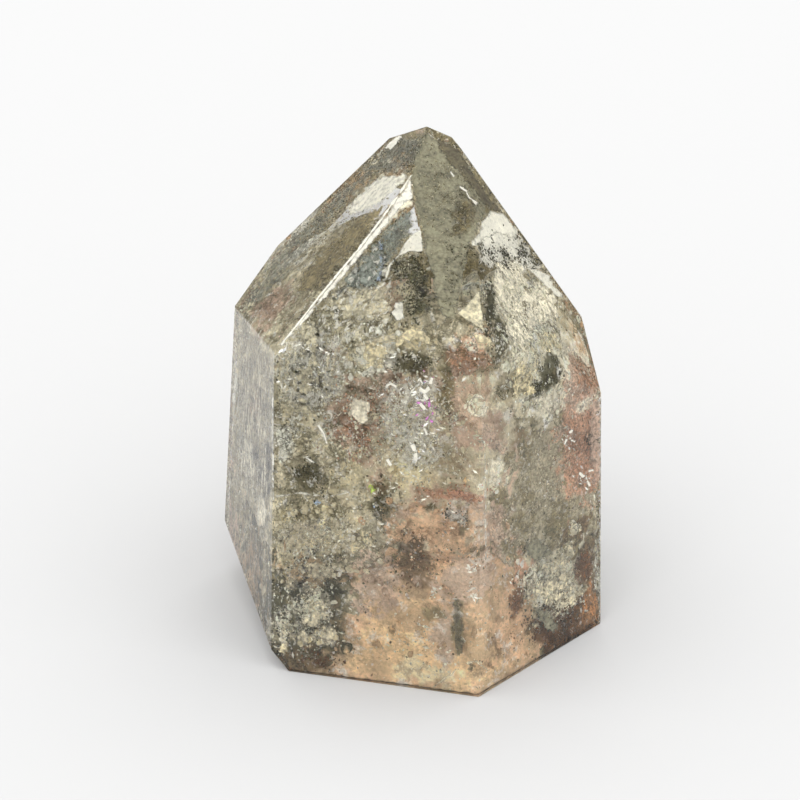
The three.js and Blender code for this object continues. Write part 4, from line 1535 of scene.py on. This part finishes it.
        (478 + 9 * math.cos(0.5 * k), 406 + 10 * math.sin(0.5 * k)) for k in range(12)), 1.8)),
    ("band_smooth", "taupe", 0.6, 0.45, 6.0, ribbon(((452, 396), (478, 425), (506, 455)), 9)),
    # a painted highlight along the prism edge between the front and right faces
    ("painted_right_edge_highlight", "white", 0.2, 0.5, 1.0, ribbon(((485, 452), (485.5, 505), (486, 560)), 1.2)),
    ("corner_white", "cream", 0.3, 0.5, 4.0, ((487, 457), (503, 459), (500, 474), (494, 490), (487, 484))),
    ("brick_plane", "brick", 0.3, 0.42, 3.0, (
        (424, 484), (446, 488), (486, 493), (485, 499), (466, 501), (448, 496), (430, 491))),
    ("haze_left", "white", 0.8, 0.3, 10.0, ((280, 335), (345, 330), (350, 400), (300, 420), (278, 400))),
    ("haze_middle", "white", 0.7, 0.3, 10.0, ((380, 380), (440, 370), (450, 470), (400, 480), (375, 430))),
    ("white_lines_low", "white", 0.4, 0.6, 1.2, ribbon(((466, 592), (474, 588), (482, 592)), 1.3)),
    # painted reflection: the foot's edges seen reflected inside the crystal, as two pale lines
    ("painted_foot_reflection_left", "khaki", 0.3, 0.7, 1.2, ribbon(((427, 692), (446, 677), (463, 664)), 1.3)),
    ("painted_foot_reflection_right", "khaki", 0.3, 0.7, 1.2, ribbon(((463, 664), (476, 661), (488, 671)), 1.3)),
))
print("veils ready")

bpy.data.objects.remove(crystalSides)


# floor, world and lights

studio = {
    "floor": 3.0,  # half of its width, m
    "drop": 0.03,  # of the floor under the crystal's foot, mm
    "floorTone": 0.42,
    "floorRoughness": 0.9,
    "skyStrength": 2.3,
}
tentShape = {
    "inner": 120,  # sizes in mm
    "outer": 420,
    "height": 1.0,
    "steps": 48,
    "rings": 10,
    "tone": 0.12,
    "roughness": 1.0,
}


def mattMaterial(name, tone, roughness):
    material, _, shader = newMaterial(name)
    shader.inputs["Base Color"].default_value = (tone, tone, tone, 1)
    shader.inputs["Roughness"].default_value = roughness
    shader.inputs["Specular IOR Level"].default_value = 0.0
    return material


def makeStudio(v):
    mesh = bpy.data.meshes.new("floor")
    s, z = v["floor"], -v["drop"] * mm
    mesh.from_pydata([(-s, -s, z), (s, -s, z), (s, s, z), (-s, s, z)], [], [(0, 1, 2, 3)])
    floor = linkObject("floor", mesh)
    mesh.materials.append(mattMaterial("floor", v["floorTone"], v["floorRoughness"]))
    world = bpy.data.worlds.new("studio")
    scene.world = world
    world.use_nodes = True
    back = world.node_tree.nodes["Background"]
    back.inputs[0].default_value = (1, 1, 1, 1)
    back.inputs[1].default_value = v["skyStrength"]


def makeReflectionTent(v):
    # a dim tent round the crystal that only mirror reflections see, so that its faces stay deep
    profile = [(v["inner"], v["height"])]
    for i in range(v["rings"] + 1):
        rise = math.pi / 2 * i / v["rings"]
        profile.append((max(1, v["outer"] * math.cos(rise)), v["height"] + v["outer"] * math.sin(rise)))
    turns = [2 * math.pi * i / v["steps"] for i in range(v["steps"])]
    shape = bmesh.new()
    rows = []
    for radius, height in profile:
        ring = [Vector((radius * math.cos(t), radius * math.sin(t), height)) for t in turns]
        rows.append([shape.verts.new(place * mm) for place in ring])
    for low, high in zip(rows, rows[1:]):
        for i in range(v["steps"]):
            j = (i + 1) % v["steps"]
            shape.faces.new((low[i], high[i], high[j], low[j]))
    mesh = bpy.data.meshes.new("reflection_tent")
    shape.to_mesh(mesh)
    shape.free()
    tent = linkObject("reflection_tent", mesh)
    mesh.materials.append(mattMaterial("tent_grey", v["tone"], v["roughness"]))
    for way in ("camera", "diffuse", "transmission", "shadow", "volume_scatter"):
        setattr(tent, "visible_" + way, False)


makeStudio(studio)
makeReflectionTent(tentShape)
scene.view_settings.view_transform = "Standard"
print("studio ready")
